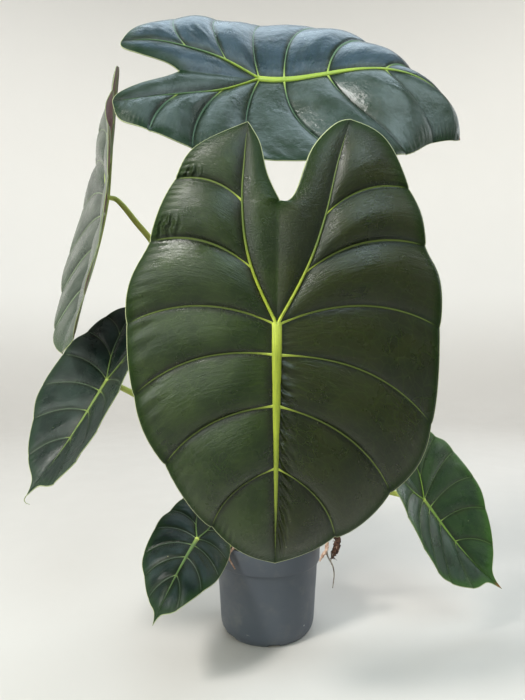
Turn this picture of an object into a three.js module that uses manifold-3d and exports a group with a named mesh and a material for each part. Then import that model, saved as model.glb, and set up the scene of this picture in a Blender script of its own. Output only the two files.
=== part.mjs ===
// Potted golden bone alocasia: six arrowhead leaves on stalks, soil, roots and a nursery pot.
// Millimetres, +Z up, the centre of the pot's base at the origin, the front of the plant toward -Y.
import * as THREE from 'three';
import { mergeVertices } from 'three/addons/utils/BufferGeometryUtils.js';
import Module from 'manifold-3d';

const wasm = await Module();
wasm.setup();
const { Manifold } = wasm;

// Pot: standard 12 cm nursery pot
const POT_HEIGHT = 104;
const POT_RIM_RADIUS = 60.8;
const POT_WALL = 1.5;
const POT_FLOOR = 1.8;
const POT_SIDES = 36;
const BAND_BOTTOM = 79;
const POT_OUTSIDE = [[46.5, 0], [50.5, 3.5], [52.7, 8.5], [53.4, 14],
  [57.5, BAND_BOTTOM], [60, BAND_BOTTOM + 1]];
const POT_INSIDE = [[45, POT_FLOOR], [51 - POT_WALL, 6], [53.4 - POT_WALL, 14],
  [57.3 - POT_WALL, BAND_BOTTOM - 1], [59.2 - POT_WALL, BAND_BOTTOM + 3]];
const SLOT_COUNT = 6;
const SLOT_WIDTH = 13;
const SLOT_HEIGHT = 4;
const SLOT_DEPTH = 9;
const SLOT_RADIUS = 49;
const SLOT_FIRST_ANGLE = -82 * Math.PI / 180;

// Soil, corm and roots
const SHORTEST_EDGE = 0.1;
const THINNEST_FACE = 0.04;
const GAP = 0.35;
const SOIL_SIDES = 24;
const SOIL_SIDE_GAP = 0.6;
const SOIL_RINGS = [44, 29, 13, 0];
const SOIL_EDGE_RADIUS = 57.6;
const SOIL_EDGE_LEVEL = 97;
const SOIL_CROWN = 3.5;
const SOIL_BUMP = 1.1;
const CHIP_COUNT = 11;
const CHIP_SIZE = [9, 6, 4];
const CHIP_REACH = [24, 48];
const CHIP_TURN = 2.4;
const CORM_RADIUS = 19;
const CORM_BOTTOM = 34;
const STALK_FOOT = 66;
const WELL_TOP = 125;

// Blades and veins
const BLADE_THICKNESS = 0.8;
const STALK_TOP_RADIUS = 2.4;
const STALK_FOOT_RADIUS = 4.2;
const KNOB_TOP = 2.3;
const STALK_APPROACH = [-9, -4, 1.4, KNOB_TOP];
const STALK_SIDES = 7;
const HOLE_CLEARANCE = 0.4;
const HOLE_REACH = 9;
const VEIN_GAP = 0.5;
const MIDRIB_HALF = 3.1;
const MIDRIB_HEIGHT = 1.3;
const KEEL_HALF = 2.6;
const KEEL_HEIGHT = 2.6;
const SIDE_VEIN_HALF = 1.05;
const SIDE_VEIN_HEIGHT = 0.75;
const SIDE_VEIN_END = 0.95;
const MAIN_VEIN_ENDS = [-0.94, 0.985];

// Main veins along the spine: -1 is the tip of a back lobe, 0 the junction, 1 the leaf tip.
const VEINS = [-1, -0.8, -0.57, -0.25, 0, 0.11, 0.3, 0.55, 0.78, 1];
const PUFF = [0.4, 0.7, 1, 1, 0.6, 0.9, 1, 0.8, 0.35];
const PUFF_CREST = 0.45;
const PUFF_AT_EDGE = 0.45;
const WAVE_RATE = 9.5;
const DRIP_START = 0.78;
const SIDE_VEINS = [-0.57, -0.25, 0, 0.11, 0.3, 0.55];
const LOBE_VEINS = VEINS.slice(0, 5);
const SINUS_STEPS = [-1, -0.9, -0.8, -0.68, -0.57];

// Outline of a common leaf in midrib lengths: x outward, y toward the tip
const MARGIN = [[0.19, -0.74], [0.335, -0.675], [0.435, -0.515], [0.52, -0.295], [0.605, 0.01],
  [0.59, 0.35], [0.455, 0.635], [0.25, 0.88], [0.1, 0.975], [0, 1]];
const LOBE_RIB = [[0.19, -0.74], [0.19, -0.6], [0.155, -0.42], [0.095, -0.195], [0, 0]];
const SINUS = [[0.19, -0.74], [0.14, -0.72], [0.09, -0.63], [0.04, -0.5], [0, -0.435]];

// The front leaf is uneven: its two sides have outlines of their own.
const FRONT_MARGIN_LEFT = [[0.105, -0.723], [0.285, -0.645], [0.369, -0.525], [0.474, -0.302],
  [0.573, 0.006], [0.556, 0.287], [0.443, 0.574], [0.26, 0.835], [0.1, 0.965], [0, 1]];
const FRONT_RIB_LEFT = [[0.105, -0.723], [0.115, -0.6], [0.125, -0.435], [0.092, -0.201], [0, 0]];
const FRONT_SINUS_LEFT = [[0.105, -0.723], [0.09, -0.7], [0.06, -0.64], [0.033, -0.526], [-0.01, -0.434]];
const FRONT_MARGIN_RIGHT = [[0.269, -0.748], [0.392, -0.687], [0.492, -0.501], [0.562, -0.288],
  [0.643, 0.024], [0.628, 0.418], [0.467, 0.703], [0.246, 0.93], [0.1, 0.98], [0, 1]];
const FRONT_RIB_RIGHT = [[0.269, -0.748], [0.22, -0.58], [0.175, -0.389], [0.101, -0.184], [0, 0]];
const FRONT_SINUS_RIGHT = [[0.269, -0.748], [0.206, -0.72], [0.126, -0.626], [0.059, -0.456], [0.01, -0.434]];
const TOP_MARGIN = [...MARGIN.slice(0, 7), [0.22, 0.87], [0.075, 0.967], [0, 1]];
const DRIP_MARGIN = [...MARGIN.slice(0, 8), [0.085, 0.965], [0, 1]];

// A leaf's pairs name the side at the right hand of someone who looks at its face with the tip up,
// then the other side. Bends are in radians per midrib length and its square.
const PLAIN_LEAF = {
  margin: [MARGIN, MARGIN],
  rib: [LOBE_RIB, LOBE_RIB],
  sinus: [SINUS, SINUS],
  lobe: 1,
  wide: [1, 1],
  slope: [0, 0],
  curl: [0, 0],
  fold: [0, 0],
  twist: [0, 0],
  lean: 0,
  hook: 0,
  hookEnd: 0,
  drip: 0,
  bow: 0.1,
  puff: 0.018,
  wave: 0.006,
  steps: 2,
  rows: [0, 0.18, 0.45, 0.74, 1],
};

const LEAVES = [
  {
    ...PLAIN_LEAF,
    name: 'leaf_front',
    junction: [4.5, -236.9, 336.7],
    tip: [0, 0.139, -0.99],
    face: [0, -1, 0],
    length: 196,
    margin: [FRONT_MARGIN_LEFT, FRONT_MARGIN_RIGHT],
    rib: [FRONT_RIB_LEFT, FRONT_RIB_RIGHT],
    sinus: [FRONT_SINUS_LEFT, FRONT_SINUS_RIGHT],
    slope: [0.08, 0.08],
    curl: [0.35, 0.35],
    front: [0.1, 0.25],
    back: [0.1, 0.25],
    bow: 0.12,
    steps: 3,
    rows: [0, 0.15, 0.4, 0.7, 1],
    stalk: [[3, -13, 66], [3, -13, 102], [3, -24, 175], [4, -72, 275], [4.3, -140, 334], [4.5, -200, 345]],
  },
  {
    ...PLAIN_LEAF,
    name: 'leaf_top',
    junction: [-8.7, -69.9, 593.5],
    tip: [0.992, 0.092, -0.088],
    face: [0.127, -0.702, 0.7],
    length: 230,
    margin: [TOP_MARGIN, TOP_MARGIN],
    lobe: 0.79,
    wide: [0.94, 0.95],
    slope: [0.36, -0.5],
    curl: [-0.57, 1.26],
    fold: [0.32, 1.38],
    front: [-1.87, 3.03],
    back: [-0.87, 2.1],
    twist: [0.14, -0.04],
    lean: 0.32,
    hook: -0.19,
    hookEnd: 0.41,
    steps: 3,
    rows: [0, 0.15, 0.4, 0.7, 1],
    stalk: [[-2, 3, 66], [-2, 3, 102], [-8, 10, 220], [-14, 13, 380], [-15, 4, 500], [-12, -36, 560]],
  },
  {
    ...PLAIN_LEAF,
    name: 'leaf_side',
    junction: [-171.2, -45.8, 480.6],
    tip: [-0.149, 0.039, -0.988],
    face: [-0.863, -0.493, 0.111],
    length: 174,
    lobe: 0.96,
    wide: [0.96, 0.94],
    slope: [-0.12, -0.26],
    curl: [0.29, 0.08],
    front: [-0.38, 0.15],
    back: [-0.17, 0.3],
    twist: [-0.17, 0.09],
    lean: 0.04,
    wave: 0.016,
    stalk: [[-14, 6, 66], [-14, 6, 102], [-30, 3, 215], [-68, -10, 335], [-126.5, -30, 436],
      [-142.6, -36, 456], [-157, -40, 474]],
  },
  {
    ...PLAIN_LEAF,
    name: 'leaf_left',
    junction: [-171.2, -47.3, 285.8],
    tip: [-0.49, -0.15, -0.86],
    face: [-0.59, -0.67, 0.45],
    length: 125,
    margin: [DRIP_MARGIN, DRIP_MARGIN],
    drip: 0.09,
    lobe: 0.92,
    wide: [1.06, 1.05],
    slope: [-0.18, -0.16],
    curl: [-0.24, -0.6],
    front: [-0.14, -0.23],
    back: [0.11, 0.26],
    twist: [-0.09, 0.08],
    lean: 0.08,
    hook: -0.13,
    stalk: [[-14, -5, 66], [-14, -5, 102], [-38, -10, 150], [-90, -20, 213],
      [-141, -32, 266], [-158, -39, 277]],
  },
  {
    ...PLAIN_LEAF,
    name: 'leaf_small',
    junction: [-72.9, -68.5, 123.8],
    tip: [-0.29, -0.9, -0.31],
    face: [0.29, -0.39, 0.87],
    length: 87,
    margin: [DRIP_MARGIN, DRIP_MARGIN],
    drip: 0.09,
    lobe: 1.06,
    wide: [0.91, 0.74],
    slope: [0.13, 0.09],
    curl: [0.48, 0.54],
    front: [0.11, 0.63],
    back: [0.03, 0.14],
    twist: [0.55, -0.26],
    lean: 0.1,
    hook: -0.03,
    stalk: [[-7, -14, 66], [-7, -14, 102], [-19, -24, 108.8], [-43, -44, 108.8], [-66, -61, 107]],
  },
  {
    ...PLAIN_LEAF,
    name: 'leaf_right',
    junction: [175.5, -18.3, 149.2],
    tip: [0.59, 0.29, -0.75],
    face: [0.56, -0.82, 0.13],
    length: 118,
    margin: [DRIP_MARGIN, DRIP_MARGIN],
    drip: 0.1,
    lobe: 0.95,
    wide: [0.92, 1.05],
    slope: [-0.36, -0.15],
    curl: [-0.42, 0.31],
    front: [-0.11, -0.77],
    back: [0.06, 0.18],
    twist: [0.2, -0.15],
    lean: -0.08,
    hook: 0.13,
    stalk: [[12, 1, 66], [12, 1, 105], [35, -3, 127], [72, -7, 146], [128, -6, 156.5], [149, -1, 151.5]],
  },
];

const ROOTS = [
  {
    name: 'root_left',
    strands: [
      { path: [[-29, -24, 90], [-31, -34, 102], [-34, -44, 108], [-38.5, -50, 105], [-41.5, -49, 98],
        [-38.5, -51.5, 92], [-34.5, -53.5, 86.5]], radii: [1.3, 1.2, 1.1, 1.1, 1, 0.9, 0.6] },
    ],
  },
  {
    name: 'root_right',
    strands: [
      { path: [[45, -14, 90], [52, -16, 104.5], [60.5, -18, 110], [70, -19, 112.5], [77, -19, 110],
        [78, -19, 100], [75, -19, 91], [72, -19, 84]], radii: [2, 2, 2.2, 2.6, 3.2, 3.4, 3, 1] },
      { path: [[62, -18.5, 110], [66, -22, 104], [65, -26, 96], [60, -29, 90], [57, -32, 86]],
        radii: [1.8, 1.9, 1.7, 1.6, 0.7] },
      { path: [[65, -26, 96], [67, -24, 88], [72.5, -21, 77], [74.5, -20, 67], [73, -20, 51]],
        radii: [1.2, 0.9, 0.8, 0.7, 0.5] },
      { path: [[77, -19, 100], [80, -15, 94], [79, -13, 88]], radii: [1.6, 1.3, 0.6] },
      { path: [[71, -19, 112.3], [74, -14, 115], [79, -12, 114]], radii: [1.6, 1.2, 0.6] },
    ],
  },
];

function vec(list) {
  return new THREE.Vector3(...list);
}

// Small tools for closed solids

function solid(geometry) {
  const bare = new THREE.BufferGeometry();
  bare.setAttribute('position', geometry.getAttribute('position'));
  bare.setIndex(geometry.getIndex());
  const welded = mergeVertices(bare, 1e-4);
  const index = welded.getIndex().array;
  const faces = [];
  for (let i = 0; i < index.length; i += 3) {
    const [a, b, c] = [index[i], index[i + 1], index[i + 2]];
    if (a !== b && b !== c && c !== a) faces.push(a, b, c);
  }
  return fromLists(Array.from(welded.getAttribute('position').array), faces);
}

function fromLists(positions, faces) {
  const mesh = new wasm.Mesh({
    numProp: 3,
    vertProperties: new Float32Array(positions),
    triVerts: new Uint32Array(faces),
  });
  return new Manifold(mesh);
}

// Joining and cutting leaves points almost on top of each other and faces as thin as a line.
function withoutSlivers(body) {
  const { vertProperties, triVerts } = body.getMesh();
  const at = (i) => new THREE.Vector3().fromArray(vertProperties, 3 * i);
  const faces = [];
  for (let i = 0; i < triVerts.length; i += 3) {
    faces.push([triVerts[i], triVerts[i + 1], triVerts[i + 2]]);
  }
  const merged = withoutShortEdges(faces, at);
  return fromLists(vertProperties, withoutNeedles(merged, at).flat());
}

// Two points almost on top of each other become one.
function withoutShortEdges(given, at) {
  let faces = given;
  const around = (i) => new Set(faces.filter((face) => face.includes(i)).flat());
  // An edge may go only where its ends share no neighbours but the two corners beside it.
  const mayMerge = (a, b) => {
    const others = around(b);
    return [...around(a)].filter((i) => others.has(i)).length === 4;
  };
  const isShort = ([a, b]) => at(a).distanceTo(at(b)) < SHORTEST_EDGE;
  const nextEdge = () => faces
    .flatMap(([a, b, c]) => [[a, b], [b, c], [c, a]])
    .find((edge) => isShort(edge) && mayMerge(...edge));
  for (let edge = nextEdge(); edge; edge = nextEdge()) {
    const [kept, dropped] = edge;
    faces = faces
      .map((face) => face.map((i) => (i === dropped ? kept : i)))
      .filter(([a, b, c]) => a !== b && b !== c && c !== a);
  }
  return faces;
}

// A face whose middle corner lies almost on its long edge gives that edge up to the face behind it.
function withoutNeedles(given, at) {
  const faces = [...given];
  const joined = (a, b) => faces.some((face) => face.includes(a) && face.includes(b));
  for (const face of given) {
    const turns = [face, [face[1], face[2], face[0]], [face[2], face[0], face[1]]];
    const lengths = turns.map(([a, , c]) => at(a).distanceTo(at(c)));
    const longest = Math.max(...lengths);
    const [a, b, c] = turns[lengths.indexOf(longest)];
    const area = at(b).sub(at(a)).cross(at(c).sub(at(a))).length();
    if (area / longest > THINNEST_FACE) continue;
    const behind = faces.find((other) => other !== face && other.includes(a) && other.includes(c));
    const d = behind.find((i) => i !== a && i !== c);
    if (joined(b, d) || !faces.includes(face)) continue;
    faces.splice(faces.indexOf(face), 1, [a, b, d]);
    faces.splice(faces.indexOf(behind), 1, [b, c, d]);
  }
  return faces;
}

function piece(name, joined, color, roughness) {
  const body = withoutSlivers(joined);
  const mesh = body.getMesh();
  const geometry = new THREE.BufferGeometry();
  geometry.setAttribute('position', new THREE.BufferAttribute(new Float32Array(mesh.vertProperties), 3));
  geometry.setIndex(new THREE.BufferAttribute(new Uint32Array(mesh.triVerts), 1));
  geometry.computeVertexNormals();
  const made = new THREE.Mesh(geometry, new THREE.MeshStandardMaterial({ color, roughness, metalness: 0 }));
  made.name = name;
  return made;
}

// Closed body from a row of rings with the same number of points; the ends are filled flat.
function loft(rings) {
  const count = rings[0].length;
  const positions = rings.flat().flatMap((p) => [p.x, p.y, p.z]);
  const faces = [];
  for (let i = 0; i + 1 < rings.length; i += 1) {
    for (let j = 0; j < count; j += 1) {
      const a = i * count + j;
      const b = i * count + (j + 1) % count;
      faces.push(a, b, b + count, a, b + count, a + count);
    }
  }
  const last = (rings.length - 1) * count;
  for (let j = 1; j + 1 < count; j += 1) {
    faces.push(0, j + 1, j, last, last + j, last + j + 1);
  }
  return fromLists(positions, faces);
}

// Round bar along a smooth curve, with a radius of its own at every given point
function bar(points, radii, sides, stepsPerSpan) {
  const curve = new THREE.CatmullRomCurve3(points, false, 'centripetal');
  const steps = (points.length - 1) * stepsPerSpan;
  const rings = [];
  let across = new THREE.Vector3(1, 0, 0);
  for (let i = 0; i <= steps; i += 1) {
    const t = i / steps;
    const at = curve.getPoint(t);
    const along = curve.getTangent(t);
    across = across.clone().addScaledVector(along, -across.dot(along)).normalize();
    const up = new THREE.Vector3().crossVectors(along, across);
    const span = Math.min(Math.floor(t * (points.length - 1)), points.length - 2);
    const part = t * (points.length - 1) - span;
    const radius = radii[span] * (1 - part) + radii[span + 1] * part;
    rings.push(circle(at, across, up, radius, sides));
  }
  return loft(rings);
}

function circle(centre, across, up, radius, sides) {
  const ring = [];
  for (let j = 0; j < sides; j += 1) {
    const angle = j * 2 * Math.PI / sides;
    ring.push(centre.clone()
      .addScaledVector(across, radius * Math.cos(angle))
      .addScaledVector(up, radius * Math.sin(angle)));
  }
  return ring;
}

// Leaf surface

// Smooth curve through values at uneven steps
function smooth(steps, values, t) {
  const n = steps.length;
  let i = 0;
  while (i < n - 2 && t >= steps[i + 1]) i += 1;
  const h = steps[i + 1] - steps[i];
  const q = (t - steps[i]) / h;
  return [0, 1].map((k) => {
    const m0 = tangent(steps, values, i, k);
    const m1 = tangent(steps, values, i + 1, k);
    return (1 + 2 * q) * (1 - q) ** 2 * values[i][k] + q * (1 - q) ** 2 * h * m0
      + q * q * (3 - 2 * q) * values[i + 1][k] + q * q * (q - 1) * h * m1;
  });
}

function tangent(steps, values, i, k) {
  const n = steps.length;
  const rise = (j) => (values[j + 1][k] - values[j][k]) / (steps[j + 1] - steps[j]);
  if (i === 0) return 1.5 * rise(0) - 0.5 * tangent(steps, values, 1, k);
  if (i === n - 1) return 1.5 * rise(n - 2) - 0.5 * tangent(steps, values, n - 2, k);
  const before = steps[i] - steps[i - 1];
  const after = steps[i + 1] - steps[i];
  return (rise(i - 1) * after + rise(i) * before) / (before + after);
}

function sideIndex(side) {
  return side > 0 ? 0 : 1;
}

// Place on the flattened leaf: u along the spine, v from the spine (0) to the edge (1).
function flatPoint(leaf, side, u, v, inner) {
  const k = sideIndex(side);
  const drawn = u > DRIP_START ? leaf.drip * ((u - DRIP_START) / (1 - DRIP_START)) ** 2 : 0;
  const spine = u > 0 ? [0, u + drawn] : smooth(LOBE_VEINS, leaf.rib[k], u);
  const edge = inner ? sinusEdge(leaf, k, u) : smooth(VEINS, leaf.margin[k], u);
  if (!inner) edge[1] += drawn;
  const dx = edge[0] - spine[0];
  const dy = edge[1] - spine[1];
  const bow = inner ? 0 : leaf.bow * 4 * v * (1 - v) * Math.min(1, (1 - Math.abs(u)) * 3);
  const x = (spine[0] + dx * v + dy * bow) * leaf.wide[k] * side;
  let y = spine[1] + dy * v - dx * bow;
  if (y < 0) y *= leaf.lobe;
  return [(x + spineShift(leaf, y)) * leaf.length, y * leaf.length];
}

// Sideways bend of the leaf's middle line
function spineShift(leaf, y) {
  return y < 0 ? -leaf.lean * y : leaf.hook * y * y + leaf.hookEnd * y ** 3;
}

function sinusEdge(leaf, k, u) {
  const bottom = SINUS_STEPS[SINUS_STEPS.length - 1];
  if (u > bottom) return [0, leaf.sinus[k][4][1] * (u / bottom)];
  return smooth(SINUS_STEPS, leaf.sinus[k], u);
}

// How far the blade puffs up between its veins
function relief(leaf, side, u, v, inner) {
  if (inner) return leaf.puff * leaf.length * PUFF_AT_EDGE * Math.sin(Math.PI * v) * Math.sin(-Math.PI * u);
  let i = 0;
  while (i < VEINS.length - 2 && u >= VEINS[i + 1]) i += 1;
  const part = (u - VEINS[i]) / (VEINS[i + 1] - VEINS[i]);
  const between = 4 * part * (1 - part);
  const rise = Math.sin(Math.PI / 2 * v / PUFF_CREST);
  const fall = 1 - (1 - PUFF_AT_EDGE) * ((v - PUFF_CREST) / (1 - PUFF_CREST)) ** 2;
  const outward = v < PUFF_CREST ? rise : fall;
  const wave = leaf.wave * Math.sin(WAVE_RATE * u + side) * v ** 3 * (1 - u * u);
  return leaf.length * (leaf.puff * PUFF[i] * between * outward + wave);
}

// Bends the flat leaf: h is the height over the blade's middle, toward the face.
function bend(leaf, [flatX, y], h) {
  const m = leaf.length;
  const shift = spineShift(leaf, y / m) * m;
  const x = Math.abs(flatX - shift) < 1e-6 ? 0 : flatX - shift;
  const k = x < 0 ? 1 : 0;
  const side = x < 0 ? -1 : 1;
  const ahead = y > 0 ? y / m : 0;
  const slope = leaf.slope[k] + leaf.fold[k] * ahead * ahead;
  const curl = (Math.abs(leaf.curl[k]) < 1e-4 ? 1e-4 : leaf.curl[k]) / m;
  const angle = slope + curl * Math.abs(x);
  const across = shift + side * ((Math.sin(angle) - Math.sin(slope)) / curl + h * Math.sin(angle));
  const out = (Math.cos(angle) - Math.cos(slope)) / curl + h * Math.cos(angle);
  const t = Math.abs(y) / m;
  const turn = (y > 0 ? leaf.twist[0] : leaf.twist[1]) * t;
  const sideways = across * Math.cos(turn) + out * Math.sin(turn);
  const height = out * Math.cos(turn) - across * Math.sin(turn);
  const [first, second] = y > 0 ? leaf.front : leaf.back;
  let forward = 0;
  let rise = 0;
  const parts = 8;
  for (let i = 0; i < parts; i += 1) {
    const q = t * (i + 0.5) / parts;
    const pitch = first * q + second * q * q;
    forward += Math.cos(pitch) * t / parts;
    rise -= Math.sin(pitch) * t / parts;
  }
  const end = first * t + second * t * t;
  const along = (forward * m + height * Math.sin(end)) * (y > 0 ? 1 : -1);
  return [sideways, along, rise * m + height * Math.cos(end)];
}

function axesOf(leaf) {
  const tip = vec(leaf.tip).normalize();
  const face = vec(leaf.face);
  face.addScaledVector(tip, -face.dot(tip)).normalize();
  return { across: new THREE.Vector3().crossVectors(tip, face), tip, face, origin: vec(leaf.junction) };
}

function surfacePoint(leaf, axes, place, h) {
  const { side, u, v, inner } = place;
  const [x, y, z] = bend(leaf, flatPoint(leaf, side, u, v, inner), h + relief(leaf, side, u, v, inner));
  return axes.origin.clone()
    .addScaledVector(axes.across, x)
    .addScaledVector(axes.tip, y)
    .addScaledVector(axes.face, z);
}

// Blades

function spineSteps(leaf) {
  const steps = [];
  for (let i = 0; i + 1 < VEINS.length; i += 1) {
    for (let j = 0; j < leaf.steps; j += 1) {
      steps.push(VEINS[i] + (VEINS[i + 1] - VEINS[i]) * j / leaf.steps);
    }
  }
  steps.push(1);
  return steps;
}

// Triangle layout on the flattened leaf; it serves both faces of a body.
function layoutOf(leaf) {
  const places = [];
  const flats = [];
  const known = new Map();
  const faces = [];
  function corner(side, u, v, inner, height = 0) {
    const flat = flatPoint(leaf, side, u, v, inner);
    const key = flat.map((c) => Math.round(c * 1000) + 0).join(' ');
    if (!known.has(key)) {
      known.set(key, places.length);
      places.push({ side, u, v, inner, height });
      flats.push(flat);
    }
    return known.get(key);
  }
  function face(a, b, c) {
    if (a === b || b === c || c === a) return;
    const area = (flats[b][0] - flats[a][0]) * (flats[c][1] - flats[a][1])
      - (flats[b][1] - flats[a][1]) * (flats[c][0] - flats[a][0]);
    if (area > 0) faces.push([a, b, c]);
    else faces.push([a, c, b]);
  }
  function quad(a, b, c, d) {
    face(a, b, c);
    face(a, c, d);
  }
  return { places, faces, corner, quad };
}

function bladeLayout(leaf) {
  const layout = layoutOf(leaf);
  function sheet(side, us, vs, inner) {
    for (let i = 0; i + 1 < us.length; i += 1) {
      for (let j = 0; j + 1 < vs.length; j += 1) {
        layout.quad(layout.corner(side, us[i], vs[j], inner), layout.corner(side, us[i + 1], vs[j], inner),
          layout.corner(side, us[i + 1], vs[j + 1], inner), layout.corner(side, us[i], vs[j + 1], inner));
      }
    }
  }
  const us = spineSteps(leaf);
  const lobe = us.filter((u) => u < 1e-9);
  for (const side of [1, -1]) {
    sheet(side, us, leaf.rows, false);
    sheet(side, lobe, [0, 0.5, 1], true);
  }
  return layout;
}

function bladeBody(leaf, axes, layout, top, bottom) {
  const { places, faces } = layout;
  const count = places.length;
  const positions = [];
  for (const h of [top, bottom]) {
    for (const place of places) {
      positions.push(...surfacePoint(leaf, axes, place, h).toArray());
    }
  }
  const triangles = faces.flatMap(([a, b, c]) => [a, b, c, a + count, c + count, b + count]);
  for (const [a, b] of openEdges(faces)) {
    triangles.push(b, a, a + count, b, a + count, b + count);
  }
  return fromLists(positions, triangles);
}

// Edges that belong to one face only
function openEdges(faces) {
  const edges = new Set(faces.flatMap(([a, b, c]) => [`${a} ${b}`, `${b} ${c}`, `${c} ${a}`]));
  const open = [...edges].map((edge) => edge.split(' ').map(Number));
  return open.filter(([a, b]) => !edges.has(`${b} ${a}`));
}

function stalkHole(axes) {
  const ends = [-HOLE_REACH, HOLE_REACH].map((d) => axes.origin.clone().addScaledVector(axes.face, d));
  const rings = ends.map((end) => circle(end, axes.across, axes.tip, STALK_TOP_RADIUS + HOLE_CLEARANCE, 10));
  return loft(rings);
}

// Veins: one sheet that follows the blade and is thick along the middle of each vein

function veinSteps(leaf, veins) {
  const steps = new Set(spineSteps(leaf).filter((u) => Math.abs(u) < 0.93));
  for (const vein of veins) {
    const half = veinHalf(leaf, 1, vein, 0.06);
    for (const step of [...steps]) {
      if (step !== vein && Math.abs(step - vein) < 2 * half) steps.delete(step);
    }
    steps.add(vein - half).add(vein).add(vein + half);
  }
  return [MAIN_VEIN_ENDS[0], ...[...steps].sort((p, q) => p - q), MAIN_VEIN_ENDS[1]];
}

// Half the width of a side vein, as a part of the spine
function veinHalf(leaf, side, vein, v) {
  const [ax, ay] = flatPoint(leaf, side, vein - 0.01, v, false);
  const [bx, by] = flatPoint(leaf, side, vein + 0.01, v, false);
  return sizeOf(leaf, SIDE_VEIN_HALF, 0.4, v) * 0.02 / Math.hypot(bx - ax, by - ay);
}

// Half the width of a main vein, as a part of the way from the spine to the edge
function ribHalf(leaf, side, u, inner, half) {
  const [ax, ay] = flatPoint(leaf, side, u, 0, inner);
  const [bx, by] = flatPoint(leaf, side, u, 1, inner);
  const reach = sizeOf(leaf, half, 0.5, Math.abs(u)) * (u < 0 ? 0.75 : 1);
  return Math.min(0.8, reach / Math.max(0.01, Math.hypot(bx - ax, by - ay)));
}

// Tapers with the way along a vein; small leaves have finer veins.
function sizeOf(leaf, start, end, way) {
  const scale = Math.max(0.6, Math.min(1, leaf.length / 190));
  return Math.max(end, (start + (end - start) * way) * scale);
}

function veinLayout(leaf, veins, half, height, withLobes) {
  const net = layoutOf(leaf);
  const steps = veinSteps(leaf, veins).filter((u) => withLobes || u > -1e-9);
  const ends = withLobes ? [steps[0], steps[steps.length - 1]] : [steps[steps.length - 1]];
  const isEnd = (u) => ends.includes(u);
  const ridge = (u) => (isEnd(u) ? 0 : sizeOf(leaf, height, 0.35, Math.abs(u)) * (u < 0 ? 0.8 : 1));
  for (const side of [1, -1]) {
    const edgeV = (u, inner) => (isEnd(u) ? 0 : ribHalf(leaf, side, u, inner, half));
    const edgeHeight = (u, inner) => (!inner && veins.includes(u) ? sizeOf(leaf, SIDE_VEIN_HEIGHT, 0.3, 0) : 0);
    for (let i = 0; i + 1 < steps.length; i += 1) {
      const pair = [steps[i], steps[i + 1]];
      for (const inner of [false, true]) {
        if (inner && steps[i] > -1e-9) continue;
        const [a, b] = pair.map((u) => net.corner(side, u, 0, inner, ridge(u)));
        const [d, c] = pair.map((u) => net.corner(side, u, edgeV(u, inner), inner, edgeHeight(u, inner)));
        net.quad(a, b, c, d);
      }
    }
    for (const vein of veins) {
      sideVein(leaf, net, side, vein, edgeV(vein, false));
    }
  }
  return net;
}

function sideVein(leaf, net, side, vein, startV) {
  const rows = [startV, ...leaf.rows.slice(1, -1), SIDE_VEIN_END];
  const base = veinHalf(leaf, 1, vein, 0.06);
  const crossing = rows.map((v, i) => {
    const last = i === rows.length - 1;
    const half = i === 0 ? base : veinHalf(leaf, side, vein, v);
    const startEdge = (u) => net.corner(side, u, i === 0 ? ribHalfAt(leaf, side, u) : v, false, 0);
    if (last) return [0, 0, 0].map(() => net.corner(side, vein, v, false, 0));
    return [startEdge(vein - half), net.corner(side, vein, v, false, sizeOf(leaf, SIDE_VEIN_HEIGHT, 0.3, v)),
      startEdge(vein + half)];
  });
  for (let i = 0; i + 1 < crossing.length; i += 1) {
    net.quad(crossing[i][0], crossing[i][1], crossing[i + 1][1], crossing[i + 1][0]);
    net.quad(crossing[i][2], crossing[i][1], crossing[i + 1][1], crossing[i + 1][2]);
  }
}

function ribHalfAt(leaf, side, u) {
  return ribHalf(leaf, side, u, false, MIDRIB_HALF);
}

// Sheet of veins over (sign 1) or under (sign -1) the blade; it closes along sharp edges.
function veinSheet(leaf, axes, net, sign) {
  const base = (sign > 0 ? 0 : -BLADE_THICKNESS) + sign * VEIN_GAP;
  const positions = [];
  const raised = new Map();
  for (const place of net.places) {
    positions.push(...surfacePoint(leaf, axes, place, base).toArray());
  }
  net.places.forEach((place, i) => {
    if (place.height === 0) return;
    raised.set(i, positions.length / 3);
    positions.push(...surfacePoint(leaf, axes, place, base + sign * place.height).toArray());
  });
  const over = (i) => (raised.has(i) ? raised.get(i) : i);
  const faces = net.faces.map(([a, b, c]) => (sign > 0 ? [a, b, c] : [a, c, b]));
  const triangles = faces.flatMap(([a, b, c]) => [over(a), over(b), over(c), a, c, b]);
  for (const [a, b] of openEdges(faces)) {
    if (over(a) !== a) triangles.push(over(b), over(a), a);
    if (over(b) !== b) triangles.push(over(b), a, b);
  }
  return fromLists(positions, triangles);
}

// The stalk comes up under the blade, goes through its hole and ends in a low knob.
function stalkPoints(leaf, axes) {
  const ends = STALK_APPROACH.map((d) => axes.origin.clone().addScaledVector(axes.face, d));
  const [foot, ...rest] = leaf.stalk.map(vec);
  const neck = foot.clone().setZ(SOIL_EDGE_LEVEL - 3);
  return [foot, neck, ...rest, ...ends];
}

function stalkRadii(leaf, count) {
  const thin = leaf.length < 100 ? STALK_TOP_RADIUS - 0.2 : STALK_TOP_RADIUS;
  const radii = [];
  for (let i = 0; i < count; i += 1) {
    const way = Math.max(0, i - 2) / (count - 1);
    radii.push(Math.max(thin, STALK_FOOT_RADIUS - (STALK_FOOT_RADIUS - thin) * way * 1.5));
  }
  radii[count - 1] *= 0.7;
  return radii;
}

function petiole(leaf, axes) {
  const points = stalkPoints(leaf, axes);
  return bar(points, stalkRadii(leaf, points.length), STALK_SIDES, 2);
}

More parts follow.
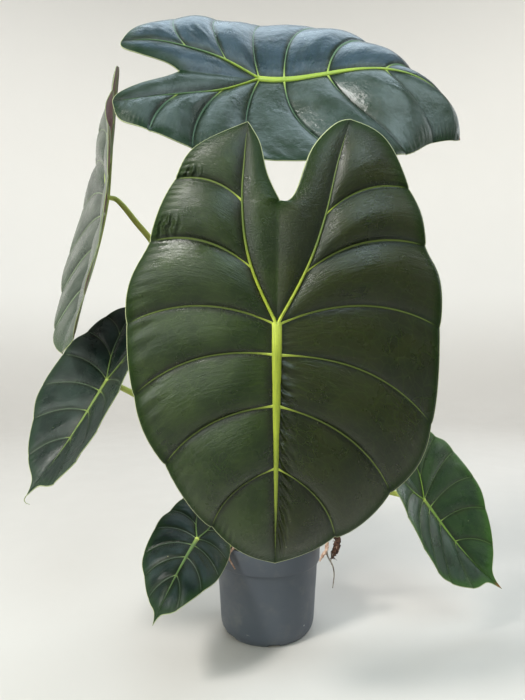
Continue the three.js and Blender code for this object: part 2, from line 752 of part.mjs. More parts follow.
function stalkBody(leaf, axes) {
  const net = veinLayout(leaf, SIDE_VEINS, MIDRIB_HALF, MIDRIB_HEIGHT, true);
  const keel = veinLayout(leaf, [], KEEL_HALF, KEEL_HEIGHT, false);
  return filled(Manifold.union([
    petiole(leaf, axes),
    veinSheet(leaf, axes, net, 1),
    veinSheet(leaf, axes, keel, -1),
  ]));
}

// Closes the small voids that crossing parts leave inside a body
function filled(body) {
  const shells = body.decompose();
  return shells.reduce((best, shell) => (shell.volume() > best.volume() ? shell : best));
}

function leafPieces(leaf) {
  const axes = axesOf(leaf);
  const layout = bladeLayout(leaf);
  const blade = bladeBody(leaf, axes, layout, 0, -BLADE_THICKNESS).subtract(stalkHole(axes));
  return [
    piece(`${leaf.name}_blade`, blade, 0x23351f, 0.35),
    piece(`${leaf.name}_stalk`, stalkBody(leaf, axes), 0xa3b93a, 0.45),
  ];
}

// Pot

function lathe(profile, sides) {
  const geometry = new THREE.LatheGeometry(profile.map(([r, z]) => new THREE.Vector2(r, z)), sides);
  geometry.rotateX(Math.PI / 2);
  return solid(geometry);
}

function potBody() {
  const rim = POT_RIM_RADIUS;
  const lip = [[rim, POT_HEIGHT - 1], [rim - 0.7, POT_HEIGHT],
    [rim - 1.6, POT_HEIGHT], [rim - 2.3, POT_HEIGHT - 1]];
  const inside = [...POT_INSIDE].reverse();
  const profile = [[0, 0], ...POT_OUTSIDE, ...lip, ...inside, [0, POT_FLOOR]];
  let pot = lathe(profile, POT_SIDES);
  for (let i = 0; i < SLOT_COUNT; i += 1) {
    const angle = SLOT_FIRST_ANGLE + i * 2 * Math.PI / SLOT_COUNT;
    const slot = new THREE.BoxGeometry(SLOT_DEPTH, SLOT_WIDTH, 2 * SLOT_HEIGHT);
    slot.translate(SLOT_RADIUS, 0, 0);
    slot.rotateZ(angle);
    pot = pot.subtract(solid(slot));
  }
  return pot;
}

// Soil with plain holes for the stalks, roots and corm

function soilLevel(x, y) {
  const r = Math.hypot(x, y) / SOIL_EDGE_RADIUS;
  const bumps = Math.sin(x * 0.33 + 1.1) * Math.cos(y * 0.37) + 0.6 * Math.sin(x * 0.71 - y * 0.58);
  return SOIL_EDGE_LEVEL + SOIL_CROWN * (1 - r * r) + SOIL_BUMP * bumps * (1 - r ** 6);
}

// The rings of the top start level with the pot's rim and drop to the soil's surface.
function soilBlock() {
  const side = POT_INSIDE.map(([r, z]) => [r - SOIL_SIDE_GAP, z + GAP]);
  const rings = SOIL_RINGS.map((r) => [r, POT_HEIGHT]);
  const profile = [[0, POT_FLOOR + GAP], ...side, [SOIL_EDGE_RADIUS, SOIL_EDGE_LEVEL], ...rings];
  const geometry = new THREE.LatheGeometry(profile.map(([r, z]) => new THREE.Vector2(r, z)), SOIL_SIDES);
  geometry.rotateX(Math.PI / 2);
  const at = geometry.getAttribute('position');
  for (let i = 0; i < at.count; i += 1) {
    if (at.getZ(i) > SOIL_EDGE_LEVEL + 1) at.setZ(i, soilLevel(at.getX(i), at.getY(i)));
  }
  return solid(geometry);
}

function soilChip(i) {
  const [long, wide, thick] = CHIP_SIZE;
  const angle = i * CHIP_TURN + 0.4;
  const reach = CHIP_REACH[0] + (CHIP_REACH[1] - CHIP_REACH[0]) * ((i * 0.618) % 1);
  const chip = new THREE.BoxGeometry(long + 4 * Math.sin(i), wide + 2 * Math.cos(i * 1.7), thick);
  chip.rotateX(0.35 * Math.sin(i * 2.1));
  chip.rotateY(0.3 * Math.cos(i * 1.3));
  chip.rotateZ(i * 1.9);
  const x = reach * Math.cos(angle);
  const y = reach * Math.sin(angle);
  chip.translate(x, y, soilLevel(x, y) + 0.6);
  return solid(chip);
}

function stalkWell(leaf) {
  const foot = vec(leaf.stalk[0]);
  const across = new THREE.Vector3(1, 0, 0);
  const up = new THREE.Vector3(0, 1, 0);
  const rings = [STALK_FOOT - GAP, SOIL_EDGE_LEVEL, WELL_TOP].map((z) => {
    const centre = new THREE.Vector3(foot.x, foot.y, z);
    return circle(centre, across, up, STALK_FOOT_RADIUS + 3 * GAP, 8);
  });
  return loft(rings);
}

function cormBody(extra) {
  const top = STALK_FOOT - GAP + extra;
  const wide = CORM_RADIUS + extra;
  const body = lathe([[0, CORM_BOTTOM - extra], [wide * 0.5, CORM_BOTTOM + 2 - extra],
    [wide * 0.92, CORM_BOTTOM + 12], [wide, CORM_BOTTOM + 22],
    [wide * 0.95, top - 1.5], [wide * 0.88, top], [0, top]], 12);
  return body.translate([0, -3, 0]);
}

function soilBody() {
  const lumps = [soilBlock()];
  for (let i = 0; i < CHIP_COUNT; i += 1) {
    lumps.push(soilChip(i));
  }
  const cuts = [cormBody(GAP)];
  for (const leaf of LEAVES) {
    cuts.push(stalkWell(leaf));
  }
  for (const root of ROOTS) {
    cuts.push(rootWell(root));
  }
  return Manifold.union(lumps).subtract(Manifold.union(cuts));
}

function rootWell(root) {
  const [from, to] = root.strands[0].path.slice(0, 2).map(vec);
  const along = to.clone().sub(from).normalize();
  const start = from.clone().addScaledVector(along, -GAP);
  const radius = root.strands[0].radii[0] + 2 * GAP;
  return bar([start, to.addScaledVector(along, 8)], [radius, radius], 6, 1);
}

function rootBody(root) {
  return Manifold.union(root.strands.map(({ path, radii }) => bar(path.map(vec), radii, 5, 2)));
}

const group = new THREE.Group();
group.name = 'potted_alocasia';
group.add(piece('pot', potBody(), 0x3b424a, 0.5));
group.add(piece('soil', soilBody(), 0x2a211b, 0.95));
group.add(piece('corm', cormBody(0), 0x6e5a3c, 0.8));
for (const leaf of LEAVES) {
  for (const made of leafPieces(leaf)) {
    group.add(made);
  }
}
for (const root of ROOTS) {
  group.add(piece(root.name, rootBody(root), 0x8a6a52, 0.85));
}
export default group;
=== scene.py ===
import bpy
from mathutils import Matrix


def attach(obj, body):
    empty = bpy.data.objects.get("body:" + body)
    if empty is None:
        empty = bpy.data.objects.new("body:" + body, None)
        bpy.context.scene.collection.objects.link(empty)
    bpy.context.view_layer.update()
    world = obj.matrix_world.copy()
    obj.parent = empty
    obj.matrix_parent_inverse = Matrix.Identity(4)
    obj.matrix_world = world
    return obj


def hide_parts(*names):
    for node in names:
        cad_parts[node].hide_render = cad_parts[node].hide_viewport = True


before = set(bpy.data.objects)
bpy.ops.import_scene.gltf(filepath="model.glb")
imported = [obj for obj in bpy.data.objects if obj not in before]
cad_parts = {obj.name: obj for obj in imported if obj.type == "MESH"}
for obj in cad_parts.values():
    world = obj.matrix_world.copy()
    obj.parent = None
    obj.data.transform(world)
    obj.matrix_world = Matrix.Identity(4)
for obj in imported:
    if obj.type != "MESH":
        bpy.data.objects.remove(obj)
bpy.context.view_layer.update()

import math
import random

import bmesh
import bpy
import numpy as np
from mathutils import Euler, Vector, noise

# Lengths in this file are millimetres; MM turns them into the scene's metres.
MM = 0.001

# Pot, as in the part's source
POT_HEIGHT = 104
RIM_RADIUS = 60.8
POT_WALL = 1.5
POT_FLOOR = 1.8
BAND_BOTTOM = 79
POT_SIDES = 144
SLOT_COUNT = 6
SLOT_SIZE = (9, 13, 8)
SLOT_RADIUS = 49
SLOT_FIRST_ANGLE = math.radians(-82)
BOX_FACES = [[0, 1, 3, 2], [4, 6, 7, 5], [0, 4, 5, 1], [2, 3, 7, 6], [0, 2, 6, 4], [1, 5, 7, 3]]
SHARP_TURN = math.radians(50)
POT_BOTTOM = [(0, 0), (20, 0.6), (40, 0.6), (43, 0)]
POT_OUTSIDE = [(46.5, 0), (48.6, 1.1), (50.5, 3.5), (51.9, 6), (52.7, 8.5), (53.1, 11), (53.4, 14),
               (54.9, 38), (56.3, 60), (57.45, BAND_BOTTOM - 0.8), (57.6, BAND_BOTTOM - 0.2),
               (58.6, BAND_BOTTOM + 0.2), (59.7, BAND_BOTTOM + 0.7), (60, BAND_BOTTOM + 1.6)]
POT_INSIDE = [(45, POT_FLOOR), (51 - POT_WALL, 6), (53.4 - POT_WALL, 14), (57.3 - POT_WALL, BAND_BOTTOM - 1),
              (59.2 - POT_WALL, BAND_BOTTOM + 3)]

# Soil, and what lies on it
SOIL_EDGE_LEVEL = 97
SOIL_EDGE_RADIUS = 57.6
SOIL_CROWN = 3.5
SOIL_BUMP = 1.1
SOIL_SIDE_GAP = 0.6
SOIL_FLOOR_GAP = 0.35
SOIL_RINGS = 56
SOIL_SECTORS = 150
CHIP_SEED = 11
CHIP_COUNT = 11
CHIP_LIFT = 0.6
GRAIN_COUNT = 420
GRAIN_REACH = 55.5
GRAIN_LIFT = 0.5
PALE_SHARE = 0.05
BARK_SHARE = 0.35
LUMP_BOXING = 0.55
LUMP_ROUGHNESS = 0.22

# Crumbs on the soil: how close together, height, seed
CRUMBS = ((0.3, 0.9, 3.1), (0.75, 0.8, 8.7), (1.7, 0.35, 1.3))
CRUMB_LEVEL = -0.2

# Leaves, by the rules of the part's source with more points
BLADE_THICKNESS = 0.6
STALK_TOP_RADIUS = 2.4
STALK_FOOT_RADIUS = 4.2
STALK_APPROACH = (-9, -4, 0.6, 1.2)
STALK_TAPER = 1.5
STALK_ROUGHNESS = 0.03
STALK_STEPS = 12
SMALL_LEAF = 100
MIDRIB_HALF = 3.7
MIDRIB_HEIGHT = 2.3
KEEL_HALF = 2.8
KEEL_HEIGHT = 2.6
SIDE_VEIN_HALF = 0.62
SIDE_VEIN_HEIGHT = 0.45
SIDE_VEIN_END = 0.95
MAIN_VEIN_ENDS = (-0.94, 0.985)
MAIN_VEIN_STEPS = 90
MAIN_VEIN_TAPER = 14
MAIN_VEIN_END_HALF = 0.5
SIDE_VEIN_STEPS = 36
SIDE_VEIN_END_HALF = 0.32
RIDGE_END_HEIGHT = 0.3
VEIN_COLUMNS = 5
FULL_VEINS_LENGTH = 190
LEAST_VEIN_SCALE = 0.6
VEINS = [-1, -0.8, -0.57, -0.25, 0, 0.11, 0.3, 0.55, 0.78, 1]
PANEL_ENDS = [-1, -0.57, -0.25, 0, 0.11, 0.3, 0.55, 1]
PUFF = [0.8, 1, 1, 0.6, 1, 1.2, 1]
SIDE_VEINS = [-0.57, -0.25, 0, 0.11, 0.3, 0.55]
LOBE_VEINS = VEINS[:5]
SINUS_STEPS = [-1, -0.9, -0.8, -0.68, -0.57]
PUFF_CREST = 0.45
PANEL_LEAN = 1.45
PUFF_AT_EDGE = 0.45
SINUS_RIPPLE = 0.12
FULL_PUFF_WIDTH = 0.28
SOFT_TIP_START = 0.7
WAVE_RATE = 9.5
DRIP_START = 0.78
BEND_PARTS = 8

MARGIN = [[0.19, -0.74], [0.335, -0.675], [0.435, -0.515], [0.52, -0.295], [0.605, 0.01],
          [0.59, 0.35], [0.455, 0.635], [0.25, 0.88], [0.1, 0.975], [0, 1]]
LOBE_RIB = [[0.19, -0.74], [0.19, -0.6], [0.155, -0.42], [0.095, -0.195], [0, 0]]
SINUS = [[0.19, -0.74], [0.14, -0.72], [0.09, -0.63], [0.04, -0.5], [0, -0.435]]
FRONT_MARGIN_LEFT = [[0.105, -0.723], [0.285, -0.645], [0.369, -0.525], [0.474, -0.302], [0.573, 0.006],
                     [0.556, 0.287], [0.443, 0.574], [0.258, 0.845], [0.115, 0.962], [0, 1.016]]
FRONT_RIB_LEFT = [[0.105, -0.723], [0.115, -0.6], [0.125, -0.435], [0.092, -0.201], [0, 0]]
FRONT_SINUS_LEFT = [[0.105, -0.723], [0.09, -0.7], [0.06, -0.64], [0.033, -0.526], [-0.01, -0.434]]
FRONT_MARGIN_RIGHT = [[0.269, -0.748], [0.392, -0.687], [0.492, -0.501], [0.562, -0.288], [0.643, 0.024],
                      [0.628, 0.418], [0.467, 0.703], [0.246, 0.9], [0.112, 0.962], [0, 1.016]]
FRONT_RIB_RIGHT = [[0.269, -0.748], [0.22, -0.58], [0.175, -0.389], [0.101, -0.184], [0, 0]]
FRONT_SINUS_RIGHT = [[0.269, -0.748], [0.206, -0.72], [0.126, -0.626], [0.059, -0.456], [0.01, -0.434]]
TOP_MARGIN = MARGIN[:7] + [[0.22, 0.87], [0.075, 0.967], [0, 1]]
DRIP_MARGIN = MARGIN[:8] + [[0.085, 0.965], [0, 1]]
THREAD_RADII = [0.55, 0.45, 0.35, 0.2]

# Roots: the way, the radii; on the right also the roughness and the kind (0 bare, 1 dirty, 2 grey)
ROOT_LEFT = ([[-29, -24, 90], [-31, -34, 102], [-34, -44, 108], [-38.5, -50, 105], [-41.5, -49, 98],
              [-38.5, -51.5, 92], [-34.5, -53.5, 86.5]], [1.3, 1.2, 1.1, 1.1, 1, 0.9, 0.6])
ROOT_RIGHT = [([[45, -14, 90], [52, -16, 104.5], [60.5, -18, 110], [70, -19, 112.5], [77, -19, 110],
                [78, -19, 100], [75, -19, 91], [72, -19, 84]], [2, 2, 2.2, 2.6, 3.2, 3.4, 3, 1], 0.75, 1),
              ([[62, -18.5, 110], [66, -22, 104], [65, -26, 96], [60, -29, 90], [57, -32, 86]],
               [1.8, 1.9, 1.7, 1.6, 0.7], 0.75, 0),
              ([[65, -26, 96], [67, -24, 88], [72.5, -21, 77], [74.5, -20, 67], [73, -20, 51]],
               [1.2, 0.9, 0.8, 0.7, 0.5], 0.3, 2),
              ([[77, -19, 100], [80, -15, 94], [79, -13, 88]], [1.6, 1.3, 0.6], 0.75, 1),
              ([[71, -19, 112.3], [74, -14, 115], [79, -12, 114]], [1.6, 1.2, 0.6], 0.75, 1)]
ROOTLET_SEED = 5
ROOTLET_COUNT = 72
ROOTLET_RADII = [0.42, 0.3, 0.12]
ROOTLET_ROUGHNESS = 0.3
ROOT_LEFT_ROUGHNESS = 0.25

# What the mesh keeps at each point for the materials to read
BLADE_VALUES = ("along", "across", "to_side", "to_main", "to_edge", "side")
STALK_VALUES = ("way", "crest", "thin", "turn")

# Raised veins are sunk into the blade by this much
RIDGE_SINK = 0.22
STALK_SIDES = 20

# Cells along and across a leaf for the vein net, the streaks and the creases,
# then along and round a vein for its fibres and a stalk for its streaks
NET_CELLS = (46, 15)
STREAK_CELLS = (26, 2.2)
CREASE_CELLS = (95, 9)
FIBRE_CELLS = (7, 20)
STALK_CELLS = (3, 9)
COAT_ROUGHNESS = 0.22

# Colours, 0 to 255 as they are seen on a screen
# Painted shade, laid in the creases beside the veins
PAINTED_CREASE_SHADE = (18, 26, 14)
SPECK = (150, 156, 110)
DRY_SPOT = (176, 138, 92)
DRY_TIP = (128, 88, 54)
HORNY_EDGE = (176, 182, 140)
MARGIN_LINE = ((168, 176, 128), (120, 132, 84))
UNDERSIDE = ((78, 38, 50), (96, 54, 60))
UNDER_NET = (112, 92, 74)
UNDER_VEIN = (110, 116, 66)
UNDER_EDGE = (84, 92, 56)
JUNCTION = (214, 226, 92)
STALK_COLORS = ((180, 200, 80), (204, 214, 116))
STALK_FOOT_COLOR = (96, 104, 44)
STALK_FLECK = (92, 66, 38)
POT_COLORS = ((67, 73, 82), (80, 86, 95))
POT_DUST = (112, 112, 108)
POT_SCUFF = (138, 142, 144)
POT_CHIP = (170, 174, 172)
SOIL_COLORS = ((26, 20, 16), (66, 50, 38))
SOIL_CRUMB = (44, 32, 24)
SOIL_FIBRE = (140, 108, 84)
FLOOR_COLORS = ((207, 203, 198), (201, 197, 192))
# Painted shade that greys the floor in front of the plant
FLOOR_FRONT_SHADE = (112, 112, 112)
WALL_COLOR = (235, 233, 229)

# Fibrous materials: dark colour, light colour, scale of the grain
FIBROUS = {
    "bark_chips": ((58, 38, 26), (112, 78, 52), 300),
    "pale_grains": ((170, 160, 144), (214, 206, 192), 500),
    "peat_crumbs": ((24, 18, 14), (52, 38, 28), 500),
    "bare_root": ((168, 134, 116), (226, 194, 172), 380),
    "dirty_root": ((44, 30, 26), (96, 68, 54), 420),
    "thin_root": ((120, 108, 98), (164, 152, 140), 420),
    "corm_skin": ((70, 50, 34), (124, 94, 62), 220),
}

# Stage, in metres
FLOOR_MIDDLE = 0.8
FLOOR_RADIUS = 1.7
SWEEP_RADIUS = 1.2
SWEEP_STEPS = 20
WALL_HEIGHT = 4
FLOOR_SIDES = 96

# Camera: place in millimetres, tilt in degrees
CAMERA_PLACE = (-5.65, -607, 322)
CAMERA_DOWN = 0.44
CAMERA_LENS = 27.05
CAMERA_SENSOR = 36
CAMERA_NEAR = 0.02

# Lights: name, place, where it points, width and height, watts, colour
LIGHTS = [
    ("key", (-1.05, -0.95, 1.75), (0, -0.15, 0.3), (0.36, 0.36), 30, (1, 0.98, 0.94)),
    ("window", (-0.95, -1.3, 0.7), (0, -0.2, 0.36), (1.4, 1.2), 10, (0.88, 1, 0.86)),
    ("left_card", (-1.5, -0.75, 0.6), (0, -0.24, 0.33), (0.4, 0.8), 5, (0.95, 1, 0.95)),
    ("front_card", (0.45, -1.1, 1.5), (0.09, -0.24, 0.48), (1, 0.8), 12, (0.74, 0.92, 1)),
    ("ceiling", (0.1, 0.55, 1.9), (0.1, 0.2, 0), (1.4, 0.8), 10, (0.72, 0.88, 1)),
    ("right_fill", (1.4, 0.35, 0.9), (0, 0, 0.3), (1, 1), 9, (0.9, 0.96, 1)),
    ("backdrop_light", (0, 0.7, 2.1), (0, 2.8, 1), (4, 0.6), 31, (1, 0.985, 0.97)),
]
WORLD_COLOR = (0.95, 0.97, 1, 1)
WORLD_STRENGTH = 0.1


def srgb(red, green, blue):
    """A colour given as it is seen on a screen, in the linear values that shaders take"""
    def linear(c):
        c /= 255
        return c / 12.92 if c <= 0.04045 else ((c + 0.055) / 1.055) ** 2.4
    return (linear(red), linear(green), linear(blue), 1)


# A leaf's pairs name the side at the right hand of someone who looks at its face with the tip up,
# then the other side.
PLAIN_LEAF = dict(
    margin=[MARGIN, MARGIN], rib=[LOBE_RIB, LOBE_RIB], sinus=[SINUS, SINUS],
    lobe=1, wide=[1, 1], slope=[0, 0], curl=[0, 0], fold=[0, 0], twist=[0, 0],
    lean=0, hook=0, hook_end=0, drip=0, bow=0.1, puff=[0.024, 0.024], wave=0.006,
    wrinkle=0.16, ripple=[0.2, 0.2], pucker=[0.2, 0.2], crease=0.62, shoulder=0.65,
    edge_puff=0.45, steps=16, rows=30, lobe_rows=9, vein_width=1.2, thread=None,
    # The colour between the veins is partly the leaf's own tone and partly a painted sheen, bluish where it
    # stands for the reflection of the sky
    tone_and_sheen=None, tone_and_sheen_margin=(5, 16), tone_and_sheen_at_edge=0.35, shine=0.4, edge_shine=0.5, coat=0.08,
    gloss=(0.24, 0.38), swell=0.0004, crinkle=0.0004, rib_folds=0, heart=0.3, blemish=0, brown_tip=0,
    dents=(),
)

LEAVES = [
    dict(PLAIN_LEAF, name="front", junction=(4.5, -236.9, 336.7), tip=(0, 0.139, -0.99), face=(0, -1, 0),
         length=196, margin=[FRONT_MARGIN_LEFT, FRONT_MARGIN_RIGHT], rib=[FRONT_RIB_LEFT, FRONT_RIB_RIGHT],
         sinus=[FRONT_SINUS_LEFT, FRONT_SINUS_RIGHT], slope=[0.08, 0.08], curl=[0.35, 0.35],
         front=[0.1, 0.25], back=[0.12, 0.42], lobe=1.012, bow=0.12, puff=[0.042, 0.042], crease=0.52,
         wrinkle=0.12, ripple=[0.25, 0.6], pucker=[0.7, 0.2], steps=30, rows=42, lobe_rows=14,
         gloss=(0.23, 0.36), vein_width=1.3, coat=0.03, edge_shine=0.25, crinkle=0.0006, rib_folds=-1,
         heart=0.8, tone_and_sheen=[((25, 40, 8), (43, 57, 21)), ((24, 31, 5), (36, 42, 9))],
         dents=[(1, -0.3, 0.86, 0.07, 0.2, 70), (1, -0.6, 0.8, 0.05, 0.2, 60)],
         stalk=[[3, -13, 66], [3, -13, 102], [3, -24, 175], [4, -72, 275], [4.3, -140, 334],
                [4.5, -200, 345]],
         main=(21, 31, 6), second=(33, 35, 7), edge=(29, 48, 14), halo=(66, 84, 26),
         rib_bright=(166, 177, 52), rib_end=(90, 107, 40), side_vein=(108, 124, 50)),
    dict(PLAIN_LEAF, name="top", junction=(-8.7, -69.9, 593.5), tip=(0.992, 0.092, -0.088),
         face=(0.127, -0.702, 0.7), length=230, margin=[TOP_MARGIN, TOP_MARGIN], lobe=0.79,
         wide=[0.94, 0.95], slope=[0.36, -0.5], curl=[-0.57, 1.26], fold=[0.32, 1.38],
         front=[-1.87, 3.03], back=[-0.87, 2.1], twist=[0.14, -0.04], lean=0.32, hook=-0.19,
         hook_end=0.41, puff=[0.044, 0.027], wrinkle=0.5,
         pucker=[0.8, 0.2], wave=0.011, crease=0.5, edge_puff=0.2, blemish=0.8, brown_tip=0.6, steps=24,
         rows=38, lobe_rows=12, vein_width=1.25, swell=0.002, edge_shine=0.3, shine=0.38, gloss=(0.25, 0.38),
         # Painted reflection: a bluish sheen between the veins, blue-grey on one half, and less of it near
         # the edge
         tone_and_sheen=[((42, 56, 46), (68, 81, 78)), ((38, 54, 62), (58, 75, 87))], tone_and_sheen_margin=(8, 22),
         tone_and_sheen_at_edge=0.1,
         stalk=[[-2, 3, 66], [-2, 3, 102], [-8, 10, 220], [-14, 13, 380], [-15, 4, 500], [-12, -36, 560]],
         main=(20, 37, 25), second=(31, 45, 30), edge=(28, 48, 28), halo=(52, 80, 62),
         rib_bright=(158, 182, 60), rib_end=(90, 120, 80), side_vein=(96, 124, 96)),
    dict(PLAIN_LEAF, name="side", junction=(-171.2, -45.8, 480.6), tip=(-0.149, 0.039, -0.988),
         face=(-0.863, -0.493, 0.111), length=174, lobe=0.96, wide=[0.96, 0.94], slope=[-0.12, -0.26],
         curl=[0.29, 0.08], front=[-0.38, 0.15], back=[-0.17, 0.3], twist=[-0.17, 0.09], lean=0.04,
         wave=0.016, wrinkle=0.35, pucker=[0.5, 0.5],
         stalk=[[-14, 6, 66], [-14, 6, 102], [-30, 3, 215], [-68, -10, 335], [-126.5, -30, 436],
                [-142.6, -36, 456], [-157, -40, 474]],
         main=(54, 62, 55), second=(79, 86, 77), edge=(68, 82, 62), halo=(122, 136, 114),
         rib_bright=(168, 184, 96), rib_end=(128, 142, 108), side_vein=(124, 138, 110)),
    dict(PLAIN_LEAF, name="left", junction=(-171.2, -47.3, 285.8), tip=(-0.49, -0.15, -0.86),
         face=(-0.59, -0.67, 0.45), length=125, margin=[DRIP_MARGIN, DRIP_MARGIN], drip=0.09, lobe=0.92,
         wide=[1.06, 1.05], slope=[-0.18, -0.16], curl=[-0.24, -0.6], front=[-0.14, -0.23],
         back=[0.11, 0.26], twist=[-0.09, 0.08], lean=0.08, hook=-0.13, wrinkle=0.34, shine=0.26, coat=0.04,
         thread=[[0, 0, 0], [-1.2, -0.3, -3.2], [0.4, -0.5, -6.2], [4.2, -0.5, -7.6]],
         stalk=[[-14, -5, 66], [-14, -5, 102], [-38, -10, 150], [-90, -20, 213], [-141, -32, 266],
                [-158, -39, 277]],
         tone_and_sheen=[((18, 31, 26), (38, 51, 46)), ((18, 31, 26), (32, 45, 39))],
         main=(17, 31, 24), second=(28, 41, 30), edge=(36, 54, 38), halo=(58, 74, 54),
         rib_bright=(116, 136, 58), rib_end=(66, 84, 54), side_vein=(66, 82, 60)),
    dict(PLAIN_LEAF, name="small", junction=(-72.9, -68.5, 123.8), tip=(-0.29, -0.9, -0.31),
         face=(0.29, -0.39, 0.87), length=87, margin=[DRIP_MARGIN, DRIP_MARGIN], drip=0.09, lobe=1.06,
         wide=[0.91, 0.74], slope=[0.13, 0.09], curl=[0.48, 0.54], front=[0.11, 0.63], back=[0.03, 0.14],
         twist=[0.55, -0.26], lean=0.1, hook=-0.03, wrinkle=0.34, shine=0.16, coat=0.02, gloss=(0.16, 0.28),
         stalk=[[-7, -14, 66], [-7, -14, 102], [-19, -24, 108.8], [-43, -44, 108.8], [-66, -61, 107]],
         tone_and_sheen=[((14, 26, 22), (40, 54, 53)), ((16, 28, 24), (36, 50, 48))],
         main=(14, 28, 20), second=(26, 38, 26), edge=(34, 54, 30), halo=(48, 66, 44),
         rib_bright=(98, 126, 60), rib_end=(58, 82, 48), side_vein=(48, 66, 48)),
    dict(PLAIN_LEAF, name="right", junction=(175.5, -18.3, 149.2), tip=(0.59, 0.29, -0.75),
         face=(0.56, -0.82, 0.13), length=118, margin=[DRIP_MARGIN, DRIP_MARGIN], drip=0.1, lobe=0.95,
         wide=[0.92, 1.05], slope=[-0.36, -0.15], curl=[-0.42, 0.31], front=[-0.11, -0.77],
         back=[0.06, 0.18], twist=[0.2, -0.15], lean=-0.08, hook=0.13, wrinkle=0.26,
         shine=0.26, coat=0.04, blemish=0.9, brown_tip=0.9,
         stalk=[[12, 1, 66], [12, 1, 105], [35, -3, 127], [72, -7, 146], [128, -6, 156.5], [149, -1, 151.5]],
         tone_and_sheen=[((28, 45, 32), (46, 66, 52)), ((28, 50, 28), (46, 68, 38))],
         main=(30, 54, 28), second=(44, 61, 30), edge=(56, 88, 38), halo=(72, 98, 48),
         rib_bright=(126, 158, 62), rib_end=(84, 116, 54), side_vein=(84, 108, 62)),
]


# Leaf surface

def hermite(steps, values, t):
    """Smooth curve through values at uneven steps"""
    steps = np.asarray(steps, float)
    values = np.asarray(values, float)
    gaps = np.diff(steps)[:, None]
    rise = np.diff(values, axis=0) / gaps
    slopes = np.empty_like(values)
    slopes[1:-1] = (rise[:-1] * gaps[1:] + rise[1:] * gaps[:-1]) / (gaps[:-1] + gaps[1:])
    slopes[0] = 1.5 * rise[0] - 0.5 * slopes[1]
    slopes[-1] = 1.5 * rise[-1] - 0.5 * slopes[-2]
    i = np.clip(np.searchsorted(steps, t, side="right") - 1, 0, len(steps) - 2)
    h = gaps[i]
    q = ((t - steps[i]) / gaps[i, 0])[:, None]
    return ((1 + 2 * q) * (1 - q) ** 2 * values[i] + q * (1 - q) ** 2 * h * slopes[i]
            + q * q * (3 - 2 * q) * values[i + 1] + q * q * (q - 1) * h * slopes[i + 1])


def half_of(side):
    """Where a leaf's pairs hold what belongs to a side"""
    return 0 if side > 0 else 1


def spine_shift(leaf, y):
    """Sideways bend of the leaf's middle line"""
    return np.where(y < 0, -leaf["lean"] * y, leaf["hook"] * y ** 2 + leaf["hook_end"] * y ** 3)


def sinus_edge(leaf, k, u):
    bottom = SINUS_STEPS[-1]
    curve = hermite(SINUS_STEPS, leaf["sinus"][k], np.minimum(u, bottom))
    closed = np.stack([np.zeros_like(u), leaf["sinus"][k][4][1] * u / bottom], 1)
    return np.where((u > bottom)[:, None], closed, curve)


def flat_points(leaf, side, u, v, inner):
    """Places on the flattened leaf: u along the spine, v from the spine (0) to the edge (1)"""
    k = half_of(side)
    drawn = np.where(u > DRIP_START, leaf["drip"] * ((u - DRIP_START) / (1 - DRIP_START)) ** 2, 0)
    rib = hermite(LOBE_VEINS, leaf["rib"][k], np.minimum(u, 0))
    spine = np.where((u > 0)[:, None], np.stack([np.zeros_like(u), u + drawn], 1), rib)
    if inner:
        edge = sinus_edge(leaf, k, u)
        bow = np.zeros_like(u)
    else:
        edge = hermite(VEINS, leaf["margin"][k], u)
        edge[:, 1] += drawn
        bow = leaf["bow"] * 4 * v * (1 - v) * np.minimum(1, (1 - np.abs(u)) * 3)
    dx, dy = (edge - spine).T
    x = (spine[:, 0] + dx * v + dy * bow) * leaf["wide"][k] * side
    y = spine[:, 1] + dy * v - dx * bow
    y = np.where(y < 0, y * leaf["lobe"], y)
    return np.stack([x + spine_shift(leaf, y), y], 1) * leaf["length"]


def width_of(leaf, side, u, inner=False):
    """From the spine to the edge on the flattened leaf"""
    spine, edge = (flat_points(leaf, side, u, 0 * u + v, inner) for v in (0, 1))
    return np.linalg.norm(edge - spine, axis=1)


def relief(leaf, side, u, v, inner):
    """How far the blade puffs up between its veins, with the finer folds of the real leaf"""
    m = leaf["length"]
    puff = leaf["puff"][half_of(side)]
    if inner:
        soft = np.sin(np.pi * v) * np.sin(-np.pi * u)
        return puff * m * PUFF_AT_EDGE * soft + SINUS_RIPPLE * soft * np.sin(41 * u + 9 * v)
    i = np.clip(np.searchsorted(PANEL_ENDS, u, side="right") - 1, 0, len(PANEL_ENDS) - 2)
    steps = np.asarray(PANEL_ENDS)
    part = (u - steps[i]) / (steps[i + 1] - steps[i])
    between = np.clip(np.sin(np.pi * part ** PANEL_LEAN), 0, 1)
    width = width_of(leaf, side, u)
    under_rib = np.minimum(0.3, rib_reach(leaf, MIDRIB_HALF, u) / np.maximum(width, 1))
    beyond = np.clip((v - under_rib) / (PUFF_CREST - under_rib), 0, 1)
    soft_tip = np.clip((u - SOFT_TIP_START) / 0.3, 0, 1)
    rise = np.sin(np.pi / 2 * beyond) ** (leaf["shoulder"] * (1 - soft_tip) + soft_tip)
    fall = 1 - (1 - leaf["edge_puff"]) * ((v - PUFF_CREST) / (1 - PUFF_CREST)) ** 2
    outward = np.where(v < PUFF_CREST, rise, fall)
    wave = leaf["wave"] * np.sin(WAVE_RATE * u + side) * v ** 3 * (1 - u * u)
    narrow = np.clip(width / (FULL_PUFF_WIDTH * m), 0, 1)
    height = m * (puff * np.asarray(PUFF)[i] * between ** leaf["crease"] * outward * narrow + wave)
    return height + folds(leaf, side, u, v, between)


